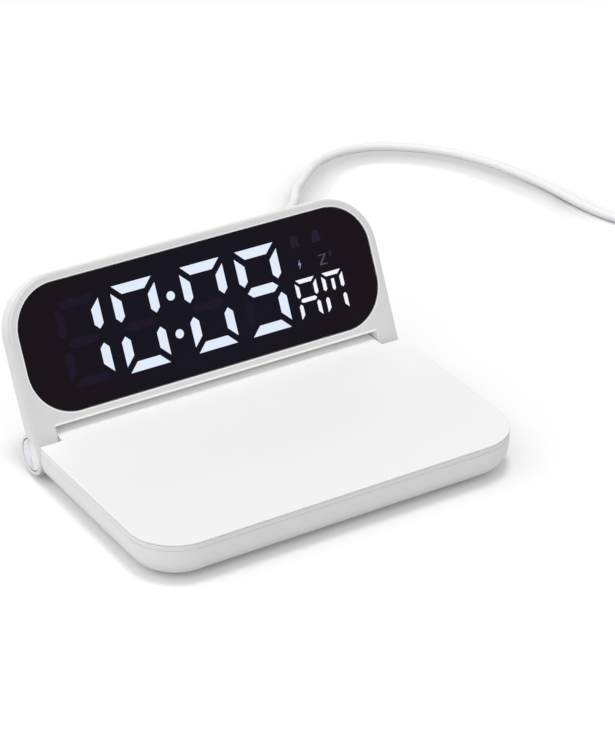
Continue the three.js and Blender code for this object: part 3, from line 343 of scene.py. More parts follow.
def satin_plastic(name, colour, roughness, grain, shine=0.3):
    """Moulded plastic with a fine even grain and slightly uneven gloss."""
    material, tree, shader = new_finish(name)
    uneven = cloud(tree, scale=45, detail=3)
    gloss_spread = 0.05
    darker = [0.985 * c for c in colour]
    grains = {"Strength": grain, "Distance": 0.02 * mm, "Height": cloud(tree, scale=2600, detail=2)}
    feeds = {
        "Specular IOR Level": shine,
        "Roughness": ranged(tree, uneven, roughness - gloss_spread, roughness + gloss_spread),
        "Base Color": blend(tree, uneven, darker, colour),
        "Normal": made(tree, "Bump", "Normal", grains),
    }
    feed(tree, shader, feeds)
    return material


def casing_plastic(name, colour):
    """The plastic of the casings in a given shade of white; the frame's darker and lighter whites are
    painted shade and painted highlight.
    """
    return satin_plastic(name, colour, roughness=0.42, grain=0.25)


def dressed(piece, material, body, slot, *nodes):
    """Gives a piece its finish and the body it moves with, and hides the solids it stands for; the slot is
    not used.
    """
    piece.data.materials.clear()
    piece.data.materials.append(material)
    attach(piece, body)
    if nodes:
        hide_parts(*nodes)
    return piece


casing_colour = (0.905, 0.905, 0.902)
casing_white = casing_plastic("casing_white", casing_colour)

foot_radius = 5.0
foot_sink = 0.6
foot_inset = 18.0
foot_rear_inset = 7.0
screw_inset = 32.0
screw_front_inset = 14.0
screw_rear_inset = 16.0
foot_places = {}
screw_places = {}
for name, side in hands:
    x = side * (half_width - foot_inset)
    foot_places[f"foot_front_{name}"] = (x, -hinge_to_front + foot_inset)
    foot_places[f"foot_rear_{name}"] = (x, pad_rear - foot_rear_inset)
    x = side * (half_width - screw_inset)
    screw_places[f"case_screw_front_{name}"] = (x, -hinge_to_front + screw_front_inset)
    screw_places[f"case_screw_rear_{name}"] = (x, pad_rear - screw_rear_inset)

boss_radius = 4.2
boss_top = floor_top + 4.0
screw_seat = foot_stand + 2.2
screw_head_radius = 2.4
screw_shank_radius = 1.2
socket_low, socket_high = cad_box("usb_socket")
board_low, board_high = cad_box("charger_board")
board_post_radius = 1.8
board_post_inset = 3.0
bush_radius = 4.5
bush_length = 12.0
saddle = bush_radius + seat_gap
saddle_inner = tongue_half - bush_length - shell_wall
bearing_front = -(saddle + shell_wall)
bearing_inner = tongue_half - shell_wall - 10.0
bearing_outer = tongue_half - shell_wall / 2

rings = []
for angle in quarter_turn(round_steps):
    z = foot_stand + lower_round * (1 - math.cos(angle))
    rings.append(base_ring(side_draft + lower_round * (1 - math.sin(angle)), tongue_end(z), z))
rim_angle = math.asin((shell_rim - hinge_z) / tongue_reach)
for i in range(1, round_steps + 1):
    z = hinge_z + tongue_reach * math.sin(rim_angle * i / round_steps)
    if z > foot_stand + lower_round:
        rings.append(base_ring(side_inset(z), tongue_end(z), z))
bottom_shell = loft("base_bottom_shell_moulding", rings, on_base)

room_round = lower_round - shell_wall
room_rear = tongue_reach - tongue_rear_wall
room = []
for angle in quarter_turn(round_steps):
    inset = side_draft + lower_round - room_round * math.sin(angle)
    z = foot_stand + lower_round - room_round * math.cos(angle)
    room.append(base_ring(inset, room_rear, z, shell_wall))
room.append(base_ring(shell_wall, room_rear, base_top, shell_wall))
worked(bottom_shell, "DIFFERENCE", [loft("room", room, on_base)])

inside = []
for x, y in screw_places.values():
    inside.append(post(x, y, boss_radius, floor_top - bite, boss_top, on_base))
for x in (board_low.x + board_post_inset, board_high.x - board_post_inset):
    for y in (board_low.y + board_post_inset - hinge_y, board_high.y - board_post_inset - hinge_y):
        inside.append(post(x, y, board_post_radius, floor_top - bite, board_low.z, on_base))
for side in (-1, 1):
    ends = (side * bearing_inner, side * bearing_outer)
    inside.append(block(*ends, bearing_front, room_rear + bite, floor_top - bite, shell_rim, on_base))
worked(bottom_shell, "UNION", inside)

cuts = []
for side in (-1, 1):
    ends = (side * saddle_inner, side * (tongue_half + past))
    cuts.append(rod(*ends, 0, hinge_z, saddle, on_base))
    cuts.append(block(*ends, -saddle, saddle, hinge_z, base_top, on_base))
for x, y in screw_places.values():
    cuts.append(post(x, y, screw_head_radius + seat_gap, foot_stand - past, screw_seat, on_base))
    cuts.append(post(x, y, screw_shank_radius + seat_gap, foot_stand, boss_top + past, on_base))
for x, y in foot_places.values():
    cuts.append(post(x, y, foot_radius + seat_gap, foot_stand - past, foot_stand + foot_sink, on_base))
socket_sides = (socket_low.x - seat_gap, socket_high.x + seat_gap)
socket_ends = (room_rear - past, tongue_reach + past)
cuts.append(block(*socket_sides, *socket_ends, floor_top, socket_high.z + seat_gap, on_base))
worked(bottom_shell, "DIFFERENCE", cuts)
eased(bottom_shell, width=0.2)
dressed(bottom_shell, casing_white, "base", "casing_white", "base_bottom_shell")


# Feet.
# Four round grey rubber pads, each pressed into a shallow pocket in the shell's underside.
# Their lower edge is rounded, and a shallow dish in the middle helps them to grip the table.
def matt_rubber(name, colour):
    return satin_plastic(name, colour, roughness=0.8, grain=0.6, shine=0.25)


foot_rubber = matt_rubber("foot_rubber", (0.27, 0.27, 0.28))
foot_edge = 0.4
rim_steps = 6
foot_dish = [(foot_radius * 0.45, 0.25), (foot_radius * 0.52, 0.05), (foot_radius * 0.56, 0.0)]
for name, (x, y) in foot_places.items():
    profile = foot_dish + arc(foot_radius - foot_edge, foot_edge, foot_edge, 0.75, 1.0, rim_steps)
    profile += [(foot_radius, foot_stand + foot_sink)]
    foot = turned(f"{name}_pad", profile, x, y, on_base)
    eased(foot, width=0.08)
    dressed(foot, foot_rubber, "base", "foot_rubber", name)


# Charging coil, its ferrite sheet and carrier, and the charger board.
# Enamelled copper lies on dark ferrite over a black frame, with the charger's circuit board behind.
# They are closed in between shell and cover, keep the solids' shape, and get the finish of the real ones.
def mottled(name, colour, roughness, metallic, scale, contrast):
    """A finish with a soft mottle of the given scale, for inner pieces and small metal pieces."""
    material, tree, shader = new_finish(name)
    mottle = cloud(tree, scale, detail=4)
    gloss_spread = 0.1
    lowest = max(roughness - gloss_spread, 0.05)
    highest = min(roughness + gloss_spread, 1.0)
    darker = [(1 - contrast) * c for c in colour]
    feeds = {
        "Metallic": metallic,
        "Base Color": blend(tree, mottle, darker, colour),
        "Roughness": ranged(tree, mottle, lowest, highest),
    }
    feed(tree, shader, feeds)
    return material


def refinished(material, *names):
    """Gives solids that keep their shape a better finish."""
    for name in names:
        solid = frame["nodes"][name]
        solid.data.materials.clear()
        solid.data.materials.append(material)


coil_copper = mottled("coil_copper", (0.46, 0.13, 0.045), 0.35, 1.0, 900, 0.25)
ferrite_grey = mottled("ferrite_grey", (0.042, 0.04, 0.037), 0.7, 0.0, 700, 0.3)
inner_black = mottled("inner_black", (0.012, 0.012, 0.013), 0.55, 0.0, 500, 0.2)
board_green = mottled("board_green", (0.014, 0.1, 0.042), 0.4, 0.0, 300, 0.25)
capacitor_brown = mottled("capacitor_brown", (0.32, 0.1, 0.045), 0.5, 0.0, 400, 0.2)
refinished(coil_copper, "charging_coil")
refinished(ferrite_grey, "ferrite_sheet", "power_inductor")
refinished(inner_black, "coil_carrier", "charger_chip")
refinished(board_green, "charger_board")
refinished(capacitor_brown, "resonance_capacitor")


# Base top cover.
# The upper half of the base is a bare flat plate of the same white plastic, where a phone lies to charge.
# It rounds off over the tongue, hangs on the shell by a lip and bosses, and is grooved under its edge.
seam_z = shell_rim + seam_gap
cover_under = base_top - 1.6
cover_boss_radius = 3.2
lip_inset = shell_wall + side_draft + seat_gap
lip_width = 1.2
lip_foot = seam_z - 2.0
lip_rear = pad_rear - lip_inset - lip_width
pocket_rear = pad_rear - shell_wall
edge_line_z = base_top - 0.6
edge_line_half = 0.14
edge_line_depth = 0.35
cover_steps = 2 * round_steps
seam_angle = math.asin((seam_z - hinge_z) / tongue_reach)
rings = []
for i in range(cover_steps + 1):
    angle = seam_angle + (math.pi / 2 - seam_angle) * i / cover_steps
    z = hinge_z + tongue_reach * math.sin(angle)
    edge = side_inset(z) if z > base_top - cover_edge_round else 0.0
    rings.append(base_ring(side_inset(z), tongue_end(z), z, edge))
top_cover = loft("base_top_cover_plate", rings, on_base)


def pad_slab(name, inset, rear, z0, z1):
    """A plate with the pad's outline, drawn in by the inset and cut straight at its rear."""
    half = half_width - inset
    return slab(name, [(half, rear), (-half, rear)] + front_corners(inset), z0, z1, on_base)


lip = pad_slab("lip", lip_inset, lip_rear, lip_foot, seam_z + bite)
hollow = pad_slab("hollow", lip_inset + lip_width, pocket_rear, lip_foot - past, cover_under)
worked(top_cover, "UNION", [lip])
worked(top_cover, "DIFFERENCE", [hollow])
bosses = []
holes = []
for x, y in screw_places.values():
    bosses.append(post(x, y, cover_boss_radius, boss_top + seat_gap, cover_under + bite, on_base))
    holes.append(post(x, y, screw_shank_radius + seat_gap, boss_top, cover_under - past, on_base))
worked(top_cover, "UNION", bosses)
worked(top_cover, "DIFFERENCE", holes)
eased(top_cover, width=0.12)
groove = (edge_line_z - edge_line_half, edge_line_z + edge_line_half)
taller = (edge_line_z - 2 * edge_line_half, edge_line_z + 2 * edge_line_half)
edge_line = pad_slab("edge_line", -past, pad_rear - seat_gap, *groove)
worked(edge_line, "DIFFERENCE", [pad_slab("core", edge_line_depth, pad_rear, *taller)])
worked(top_cover, "DIFFERENCE", [edge_line])
even_shading(top_cover)


def painted_light_behind(name, colour, painted_colour, front_y, rear_y):
    """Casing plastic painted a little lighter toward the hinge, from front_y to rear_y: painted light
    against the shade the display casts there.
    """
    material = casing_plastic(name, colour)
    tree = material.node_tree
    shader = tree.nodes["Principled BSDF"]
    plain = shader.inputs["Base Color"].links[0].from_socket
    along = made(tree, "SeparateXYZ", "Y", {"Vector": own_place(tree)})
    feeds = {"Value": along, "From Min": front_y * mm, "From Max": rear_y * mm}
    rearward = made(tree, "MapRange", "Result", feeds, interpolation_type="SMOOTHSTEP")
    feed(tree, shader, {"Base Color": blend(tree, rearward, plain, painted_colour)})
    return material


# The pad's colour is painted lighter toward the display, painted light that evens out the shade the
# display casts on the pad's rear.
pad_painted_light_colour = (0.975, 0.975, 0.972)
painted_light_from = hinge_y - 52
painted_light_to = hinge_y - 3
pad_painted_light = painted_light_behind("pad_painted_light", casing_colour, pad_painted_light_colour, painted_light_from, painted_light_to)
dressed(top_cover, pad_painted_light, "base", "casing_white", "base_top_cover")


# Case screws.
# Four zinc-plated screws come up through the shell's recesses into the cover's bosses.
# Their pan heads sit deep in the underside and carry a cross slot.
screw_steel = mottled("screw_steel", (0.48, 0.49, 0.5), 0.32, 1.0, 600, 0.12)
screw_sides = 32
screw_head_height = 1.6
screw_tip = cover_under - 2
thread_pitch = 0.8
thread_start = 0.3
thread_fall = 0.35
thread_root = 0.82
tip_share = 0.7
head_rim = 0.35
head_rim_steps = 5
cross_reach = 0.6
cross_half = 0.3
cross_depth = 0.5


def cross_screw(name, x, y, head_z, head_height, head_radius, shank_radius, tip_z, place):
    """A screw with its head below, a rounded rim and a cross slot in the head's underside."""
    rim = min(head_rim, head_height / 2)
    neck_z = head_z + head_height
    profile = arc(head_radius - rim, head_z + rim, rim, 0.75, 1.0, head_rim_steps)
    profile += [(head_radius, neck_z), (shank_radius, neck_z)]
    for i in range(int((tip_z - neck_z) / thread_pitch)):
        z = neck_z + thread_start + thread_pitch * i
        profile += [(shank_radius, z), (shank_radius * thread_root, z + thread_fall)]
    profile += [(shank_radius * tip_share, tip_z)]
    screw = turned(name, profile, x, y, place, screw_sides)
    reach = head_radius * cross_reach
    levels = (head_z - past, head_z + cross_depth)
    arms = [
        block(x - reach, x + reach, y - cross_half, y + cross_half, *levels, place),
        block(x - cross_half, x + cross_half, y - reach, y + reach, *levels, place),
    ]
    return eased(worked(screw, "DIFFERENCE", arms), width=0.04, segments=1)


for name, (x, y) in screw_places.items():
    head = (screw_seat - screw_head_height, screw_head_height, screw_head_radius)
    screw = cross_screw(f"{name}_part", x, y, *head, screw_shank_radius, screw_tip, on_base)
    dressed(screw, screw_steel, "base", "screw_steel", name)


# Hinge bushes, pins and wires.
# Brass bushes lie in the shell's saddles, hollow steel pins turn in them with the display's arms,
# and the display's wire goes through the right pin. The arms hide all of them.
bush_brass = mottled("bush_brass", (0.48, 0.3, 0.08), 0.35, 1.0, 500, 0.15)
wire_black = mottled("wire_black", (0.012, 0.012, 0.013), 0.5, 0.0, 600, 0.2)
refinished(bush_brass, "hinge_bush_left", "hinge_bush_right")
refinished(screw_steel, "hinge_pin_left", "hinge_pin_right")
refinished(wire_black, "hinge_wire_base", "hinge_wire_display")


# Display rear cover.
# The display's back is a white moulded plate with the rear halves of the two round arm ends.
# It plugs into the frame and carries holes for the buttons, the screws and the buzzer's sound.
lean = math.radians(90 - fold["range_deg"][1])
face_z = arm_radius
display_back = face_z - 8.0
display_rise = 60.0
display_corner = 19.7
display_round = 0.8
slot_rise = 8.1
split_z = 0.2
split_gap = 0.3
frame_wall = 2.2
cover_inner = display_back + 1.3
cavity_half = half_width - frame_wall
cavity_low = slot_rise + frame_wall
cavity_high = display_rise - frame_wall
cavity_low_corner = 4.0
cap_radius = 5.8
cap_outer = half_width - 0.1
cap_inner = cap_outer - 1.3
cap_floor = cap_inner - seat_gap
wire_room = cap_floor - 2.1
wire_room_radius = cap_radius - 0.6
pin_radius = 3.0
hex_seat = slot_half + 1.6
hex_radius = 4.68
hex_sides = 6
fine_sides = 96
edge_steps = 8
button_names = ("set", "alarm", "up", "down")
button_pitch = 15.0
button_places = {name: (i - 1.5) * button_pitch for i, name in enumerate(button_names)}
button_rise = display_rise - 12
button_radius = 3.2
tab_x = 34.0
tab_half = 4.0
tab_height = 1.2
tab_reach = 1.6
cover_screw_x = half_width - 6.7
cover_screw_y = slot_rise + 6.5
cover_head_radius = 1.9
cover_head_sink = 0.9
cover_shank_radius = 0.9
hole_sides = 24
buzzer_low, buzzer_high = cad_box("buzzer")
buzzer_x = (buzzer_low.x + buzzer_high.x) / 2
buzzer_rise = slot_rise + 18
sound_holes = 6
sound_ring = 2.6
sound_radius = 0.75
sound_sides = 20


def on_display(x, y, z):
    """A place on the display as if it lay on its back: y up its face from the hinge axis, z out of it."""
    behind = y * math.sin(lean) - z * math.cos(lean)
    above = y * math.cos(lean) + z * math.sin(lean)
    return Vector((x, hinge_y + behind, hinge_z + above)) * mm


def display_ring(inset, z):
    """The display's outline at one depth, with both upper corners rounded."""
    half = half_width - inset
    top = display_rise - inset
    radius = display_corner - inset
    plan = [(half, 0.0)]
    plan += arc(half - radius, top - radius, radius, 0, 0.25, plan_steps)
    plan += arc(-half + radius, top - radius, radius, 0.25, 0.5, plan_steps)
    plan += [(-half, 0.0)]
    return [(x, y, z) for x, y in plan]


def rounded_plan(x0, x1, y0, y1, low_radius, high_radius, steps=plan_steps):
    plan = arc(x1 - high_radius, y1 - high_radius, high_radius, 0, 0.25, steps)
    plan += arc(x0 + high_radius, y1 - high_radius, high_radius, 0.25, 0.5, steps)
    plan += arc(x0 + low_radius, y0 + low_radius, low_radius, 0.5, 0.75, steps)
    plan += arc(x1 - low_radius, y0 + low_radius, low_radius, 0.75, 1.0, steps)
    return plan


def cavity_plan(inset):
    low = cavity_low_corner - inset
    high = display_corner - frame_wall - inset
    half = cavity_half - inset
    return rounded_plan(-half, half, cavity_low + inset, cavity_high - inset, low, high)


def round_plate(name, radius, rim, rim_steps, inner, outer, side):
    """A round plate across the hinge axis, with its outer rim rounded."""
    profile = [(inner, radius)]
    profile += [(x, r) for r, x in arc(radius - rim, outer - rim, rim, 0, 0.25, rim_steps)]
    if side < 0:
        profile = [(-x, r) for x, r in profile][::-1]
    rings = [[(x, p, q) for p, q in circle(0, 0, r, fine_sides)] for x, r in profile]
    return loft(name, rings, on_display)


def full_width(y0, y1, z0, z1):
    """A block that reaches past both sides of the display."""
    return block(-clock_width, clock_width, y0, y1, z0, z1, on_display)


def display_form(name):
    """The whole outside of the display with its arms, bored for the hinge, before it is split in two."""
    rings = []
    for angle in quarter_turn(edge_steps):
        inset = display_round * (1 - math.sin(angle))
        rings.append(display_ring(inset, display_back + display_round * (1 - math.cos(angle))))
    for angle in quarter_turn(edge_steps):
        inset = display_round * (1 - math.cos(angle))
        rings.append(display_ring(inset, face_z - display_round * (1 - math.sin(angle))))
    form = loft(name, rings, on_display)
    slot = block(-slot_half, slot_half, -past, slot_rise, display_back - past, face_z + past, on_display)
    worked(form, "DIFFERENCE", [slot])
    arm_end = (arm_radius, display_round, edge_steps, slot_half, half_width)
    worked(form, "UNION", [round_plate("arm_end", *arm_end, side) for side in (-1, 1)])
    steps = (
        (slot_half - past, hex_seat + past, pin_radius + seat_gap, round_sides),
        (hex_seat, wire_room + past, hex_radius, hex_sides),
        (wire_room, cap_floor + past, wire_room_radius, round_sides),
        (cap_floor, half_width + past, cap_radius + seat_gap, fine_sides),
    )
    bores = []
    for side in (-1, 1):
        for inner, outer, radius, sides in steps:
            bores.append(rod(side * inner, side * outer, 0, 0, radius, on_display, sides))
    return worked(form, "DIFFERENCE", bores)


rear_cover = display_form("display_rear_cover_plate")
low_end = -arm_radius - past
high_end = display_rise + past
behind = full_width(low_end, high_end, low_end, split_z - split_gap / 2)
worked(rear_cover, "INTERSECT", [behind])
spigot = slab("spigot", cavity_plan(seat_gap), split_z - split_gap, cover_inner, on_display)
tab_top = cavity_high - seat_gap
tabs = []
for x in (-tab_x, tab_x):
    plan = (x - tab_half, x + tab_half, tab_top - tab_height, tab_top)
    tabs.append(block(*plan, cover_inner - bite, cover_inner + tab_reach, on_display))
worked(rear_cover, "UNION", [spigot, *tabs])
through = (display_back - past, cover_inner + past)
holes = []
for x in button_places.values():
    holes.append(post(x, button_rise, button_radius + seat_gap, *through, on_display))
for x in (-cover_screw_x, cover_screw_x):
    sunk = (display_back - past, display_back + cover_head_sink)
    holes.append(post(x, cover_screw_y, cover_head_radius + seat_gap, *sunk, on_display))
    holes.append(post(x, cover_screw_y, cover_shank_radius + seat_gap, *through, on_display, hole_sides))
for x, y in circle(buzzer_x, buzzer_rise, sound_ring, sound_holes):
    holes.append(post(x, y, sound_radius, *through, on_display, sound_sides))
worked(rear_cover, "DIFFERENCE", holes)
eased(rear_cover, width=0.15)
dressed(rear_cover, casing_white, "display", "casing_white", "display_rear_cover")


# Setting buttons.
# Four round white buttons stand a little out of the rear cover, each kept in by a flange behind it.
# Each face is dished for the fingertip, and a press moves it against the switch on the board.
button_out = display_back - 0.6
button_rim = 0.25
button_dish = ((0.5, 0.22), (1.4, 0.15), (2.2, 0.05), (2.6, 0.0))
flange_radius = button_radius + 0.8
flange_back = cover_inner + seat_gap
flange_front = flange_back + 0.4
for name, x in button_places.items():
    profile = [(radius, button_out + depth) for radius, depth in button_dish]
    rim = (button_radius - button_rim, button_out + button_rim, button_rim)
    profile += arc(*rim, 0.75, 1.0, head_rim_steps)
    profile += [(button_radius, flange_back), (flange_radius, flange_back), (flange_radius, flange_front)]
    button = turned(f"button_{name}_cap", profile, x, button_rise, on_display)
    eased(button, width=0.05)
    dressed(button, casing_white, f"{name}_button", "casing_white", f"button_{name}")


# Cover screws.
# Two small steel screws hold the rear cover to the frame near the arms.
# Their heads lie sunk in the cover, and their threads bite into the frame's bosses.
cover_head_height = 0.5
cover_screw_tip = 4.0
for name, side in hands:
    head_z = display_back + cover_head_sink - seat_gap - cover_head_height
    spot = (side * cover_screw_x, cover_screw_y, head_z)
    sizes = (cover_head_height, cover_head_radius, cover_shank_radius, cover_screw_tip)
    screw = cross_screw(f"cover_screw_{name}_part", *spot, *sizes, on_display)
    dressed(screw, screw_steel, "display", "screw_steel", f"cover_screw_{name}")


# Display electronics and light guides.
# The board with its chip, coin cell, buzzer and switches stands behind the display's face,
# and the clear guides in their black mask bring its light forward. The casings close them all in.
guide_clear = mottled("guide_clear", (0.75, 0.82, 0.92), 0.35, 0.0, 300, 0.05)
cell_steel = mottled("cell_steel", (0.6, 0.6, 0.62), 0.3, 1.0, 500, 0.1)
guides = [f"digit_guide_{i}" for i in range(1, 5)] + ["colon_guide", "half_day_guide"]
refinished(guide_clear, *guides)
refinished(board_green, "display_board")
refinished(cell_steel, "backup_cell")
refinished(inner_black, "light_mask", "clock_chip", "cell_holder", "buzzer")
refinished(inner_black, *[f"switch_{name}" for name in button_names])


# Display front frame.
# One white moulding makes the display's face, its sides and the front halves of the arms. A fine line
# runs round its sides, and a ledge behind the window holds the lens. Face and sides are painted in darker
# whites, painted shade, and the cut edges round the window and the slot are painted lighter, a painted
# highlight.
window_half = half_width - 3.0
window_low = slot_rise + 2.9
window_high = display_rise - 2.7
window_corner = display_corner - 3.0
window_middle = (window_low + window_high) / 2
lens_front = face_z - 0.2
lens_back = lens_front - 1.0
ledge_inset = 1.5
ledge_front = lens_back - seat_gap
ledge_back = ledge_front - 1.8
frame_boss_radius = 2.6
channel_top = cover_screw_y + 5.6
channel_roof = cover_inner + 2 * seat_gap + 1.4
line_z = face_z - 1.7
line_half = 0.06
line_depth = 0.2
window_highlight = 0.45
slot_highlight = 0.8
highlight_sink = 0.03


def window_plan(inset):
    half = window_half - inset
    radius = window_corner - inset
    return rounded_plan(-half, half, window_low + inset, window_high - inset, radius, radius)


def side_line(name, inset, half):
    """A plate with the display's outline, drawn in by the inset, about the fine line's height."""
    return loft(name, [display_ring(inset, line_z + way * half) for way in (-1, 1)], on_display)


front_frame = display_form("display_front_frame_moulding")
ahead = full_width(low_end, high_end, split_z + split_gap / 2, face_z + past)
worked(front_frame, "INTERSECT", [ahead])
openings = [
    slab("cavity", cavity_plan(0), display_back, ledge_back, on_display),
    slab("ledge_hole", window_plan(ledge_inset), display_back, face_z, on_display),
    slab("lens_hole", window_plan(0), ledge_front, face_z + past, on_display),
]
worked(front_frame, "DIFFERENCE", openings)
bosses = []
cuts = [block(wire_room, cap_floor, 0, channel_top, display_back, channel_roof, on_display)]
for x in (-cover_screw_x, cover_screw_x):
    boss = (cover_inner + seat_gap, ledge_back + bite)
    bore = (display_back, ledge_back)
    bosses.append(post(x, cover_screw_y, frame_boss_radius, *boss, on_display))
    cuts.append(post(x, cover_screw_y, cover_shank_radius + seat_gap, *bore, on_display, hole_sides))
worked(front_frame, "UNION", bosses)
worked(front_frame, "DIFFERENCE", cuts)
eased(front_frame, width=0.2)
line = side_line("line", -past, line_half)
worked(line, "DIFFERENCE", [side_line("core", line_depth, line_half * 2)])
upper = full_width(arm_radius - past, high_end + past, display_back, face_z)
worked(line, "INTERSECT", [upper])
# A very shallow step marks off the bands at the window and the slot that get the painted highlight.
highlight_levels = (face_z - highlight_sink, face_z + past)
highlight_steps = [
    slab("window_highlight", window_plan(-window_highlight), *highlight_levels, on_display),
    block(-slot_half, slot_half, slot_rise - past, slot_rise + slot_highlight, *highlight_levels, on_display),
]
worked(front_frame, "DIFFERENCE", [line, *highlight_steps])
even_shading(front_frame)
dressed(front_frame, casing_white, "display", "casing_white", "display_front_frame")
# The face and sides are painted in darker whites, painted shade where less light falls on them, and the
# cut edges in a lighter white, a painted highlight.
frame_painted_light = (
    ("bezel_painted_shade", (0.735, 0.735, 0.733)),
    ("side_painted_shade", (0.85, 0.85, 0.848)),
    ("edge_painted_highlight", (0.96, 0.96, 0.957)),
)
for name, colour in frame_painted_light:
    front_frame.data.materials.append(casing_plastic(name, colour))
bezel_shade_index, side_shade_index, highlight_index = (1, 2, 3)
toward_user = 0.3
toward_side = 0.7
hinge_place = on_display(0, 0, 0)
out_of_face = (on_display(0, 0, 1) - hinge_place) / mm
up_face = (on_display(0, 1, 0) - hinge_place) / mm
face_line = out_of_face.dot(on_display(0, 0, line_z))


def on_highlight(corner):
    """Whether a corner of the frame lies within the narrow band at the window's edge or the slot's edge
    that carries the painted highlight.
    """
    slack = 0.01
    x = corner.x / mm
    y = up_face.dot(corner - hinge_place) / mm
    over_x = max(abs(x) - (window_half - window_corner), 0.0)
    over_y = max(abs(y - window_middle) - (window_high - window_middle - window_corner), 0.0)
    beside_window = math.hypot(over_x, over_y) - window_corner < window_highlight + slack
    beside_slot = abs(x) < slot_half + slack and y < slot_rise + slot_highlight + slack
    return beside_window or beside_slot


for face in front_frame.data.polygons:
    ahead_of_line = out_of_face.dot(face.center) > face_line
    faces_user = out_of_face.dot(face.normal) > toward_user
    if faces_user and all(on_highlight(front_frame.data.vertices[i].co) for i in face.vertices):
        face.material_index = highlight_index
    elif ahead_of_line or faces_user:
        face.material_index = bezel_shade_index
    elif abs(face.normal.x) > toward_side:
        face.material_index = side_shade_index


# Display lens.
# A polished plate of dark tinted plastic lies in the window, a touch below the face.
# It is cut to the window's outline, rests on the frame's ledge and lets the lit signs through.
painted_glow_reach = (0.07, 0.05, 0.036)


def tinted_gloss(name, colour, glow):
    """Dark polished plastic, its colour painted a little bluer where the light of the digits spreads in
    it: a painted glow.
    """
    material, tree, shader = new_finish(name)
    middle = on_display(0, window_middle, lens_front)
    feeds = {"Vector": own_place(tree), "Location": middle, "Scale": painted_glow_reach}
    about = made(tree, "Mapping", "Vector", feeds, vector_type="TEXTURE")
    spread = made(tree, "TexGradient", "Fac", {"Vector": about}, gradient_type="SPHERICAL")
    feeds = {"Value": spread, "From Max": 0.5}
    soft = made(tree, "MapRange", "Result", feeds, interpolation_type="SMOOTHSTEP")
    feeds = {
        "Specular IOR Level": 0.05,
        "Base Color": blend(tree, soft, colour, glow),
        "Roughness": ranged(tree, cloud(tree, scale=90, detail=5), 0.06, 0.14),
    }
    feed(tree, shader, feeds)
    return material


lens_black = tinted_gloss("lens_black", (0.009, 0.0045, 0.008), (0.0063, 0.005, 0.0125))
lens = slab("display_lens_plate", window_plan(seat_gap), lens_back, lens_front, on_display)
eased(lens, width=0.12)
dressed(lens, lens_black, "display", "lens_black", "display_lens")


# Lit and unlit signs.
# Bars of light show the time through the lens, and the bars that are off show as a faint grey, a painted
# glow, though they are not lit.
# They lie at the lens's surface, where the light guides behind throw them.
sign_levels = (lens_front - 0.02, lens_front + 0.03)


def sign_bars(width, height, stroke, end_gap, slant_gap):
    """The seven bars of one sign about its middle, a to g in the usual places."""
    a = width / 2
    b = height / 2
    tip = stroke / 2
    slant = b - a + end_gap - slant_gap * math.sqrt(2)
    waist = tip + 0.8 * stroke / 3.5
    level = [
        (a - end_gap, b),
        (-a + end_gap, b),
        (-a + end_gap + stroke, b - stroke),
        (a - end_gap - stroke, b - stroke),
    ]
    upright = [
        (a, slant + a),
        (a - stroke, slant + a - stroke),
        (a - stroke, waist + tip),
        (a - tip, waist),
        (a, waist + tip),
    ]
    flat = a - stroke - tip / 2
    point = a - tip * 1.4
    cross = [(flat, tip), (-flat, tip), (-point, 0), (-flat, -tip), (flat, -tip), (point, 0)]

    def flipped(plan, sx, sy):
        turned_plan = [(x * sx, y * sy) for x, y in plan]
        return turned_plan[::-1] if sx * sy < 0 else turned_plan

    return {
        "a": level,
        "b": upright,
        "c": flipped(upright, 1, -1),
        "d": flipped(level, 1, -1),
        "e": flipped(upright, -1, -1),
        "f": flipped(upright, -1, 1),
        "g": cross,
    }


def moved(plan, x, y):
    return [(p + x, q + y) for p, q in plan]


def sign_piece(name, plans, material):
    """One mesh of thin raised plates, one for each outline."""
    piece = lofts(name, [at_levels(plan, sign_levels) for plan in plans], on_display)
    return dressed(piece, material, "display", "guide_clear")


def glowing(name, colour, strength=1.0):
    """Light through a frosted guide: a little brighter and dimmer from place to place. On signs that are
    off, the same faint glow is painted light.
    """
    material, tree, shader = new_finish(name)
    frost = cloud(tree, scale=160, detail=2)
    feeds = {
        "Base Color": (0.0085, 0.006, 0.01),
        "Roughness": 0.1,
        "Specular IOR Level": 0.05,
        "Emission Color": colour,
        "Emission Strength": ranged(tree, frost, strength * 0.94, strength * 1.06),
    }
    feed(tree, shader, feeds)
    return material


colon_x = -11.75
colon_half = 6.95
dot_radius = 1.65
dot_sides = 40
inner_digit = 13.85
outer_digit = 36.45
digit_places = [colon_x + step for step in (-outer_digit, -inner_digit, inner_digit, outer_digit)]
shown_bars = ["bc", "abcdef", "abcdef", "abcdfg"]
lit_bars = sign_bars(width=17.6, height=31.5, stroke=3.5, end_gap=0.8, slant_gap=2.3)
unlit_bars = sign_bars(width=17.2, height=31.1, stroke=3.1, end_gap=0.8, slant_gap=2.3)
lit = []
unlit = []
for x, shown in zip(digit_places, shown_bars):
    for bar in lit_bars:
        if bar in shown:
            lit.append(moved(lit_bars[bar], x, window_middle))
        else:
            unlit.append(moved(unlit_bars[bar], x, window_middle))
for way in (1, -1):
    lit.append(circle(colon_x, window_middle + way * colon_half, dot_radius, dot_sides))
letter_bars = sign_bars(width=9.0, height=15.6, stroke=1.5, end_gap=0.55, slant_gap=1.2)
letter_y = window_middle - 7.9
letter_a_x = 42.2
letter_m_x = 53.5
middle_bar = [(0.65, 5.0), (-0.65, 5.0), (-0.65, 1.4), (0, 0.6), (0.65, 1.4)]
half_day = [moved(middle_bar, letter_m_x, letter_y)]
for x, shown in ((letter_a_x, "abcefg"), (letter_m_x, "abcef")):
    half_day += [moved(plan, x, letter_y) for bar, plan in letter_bars.items() if bar in shown]
sign_piece("lit_bars", lit, glowing("sign_light", (0.75, 0.83, 0.96)))
sign_piece("half_day_letters", half_day, glowing("half_day_light", (0.87, 0.89, 0.97)))
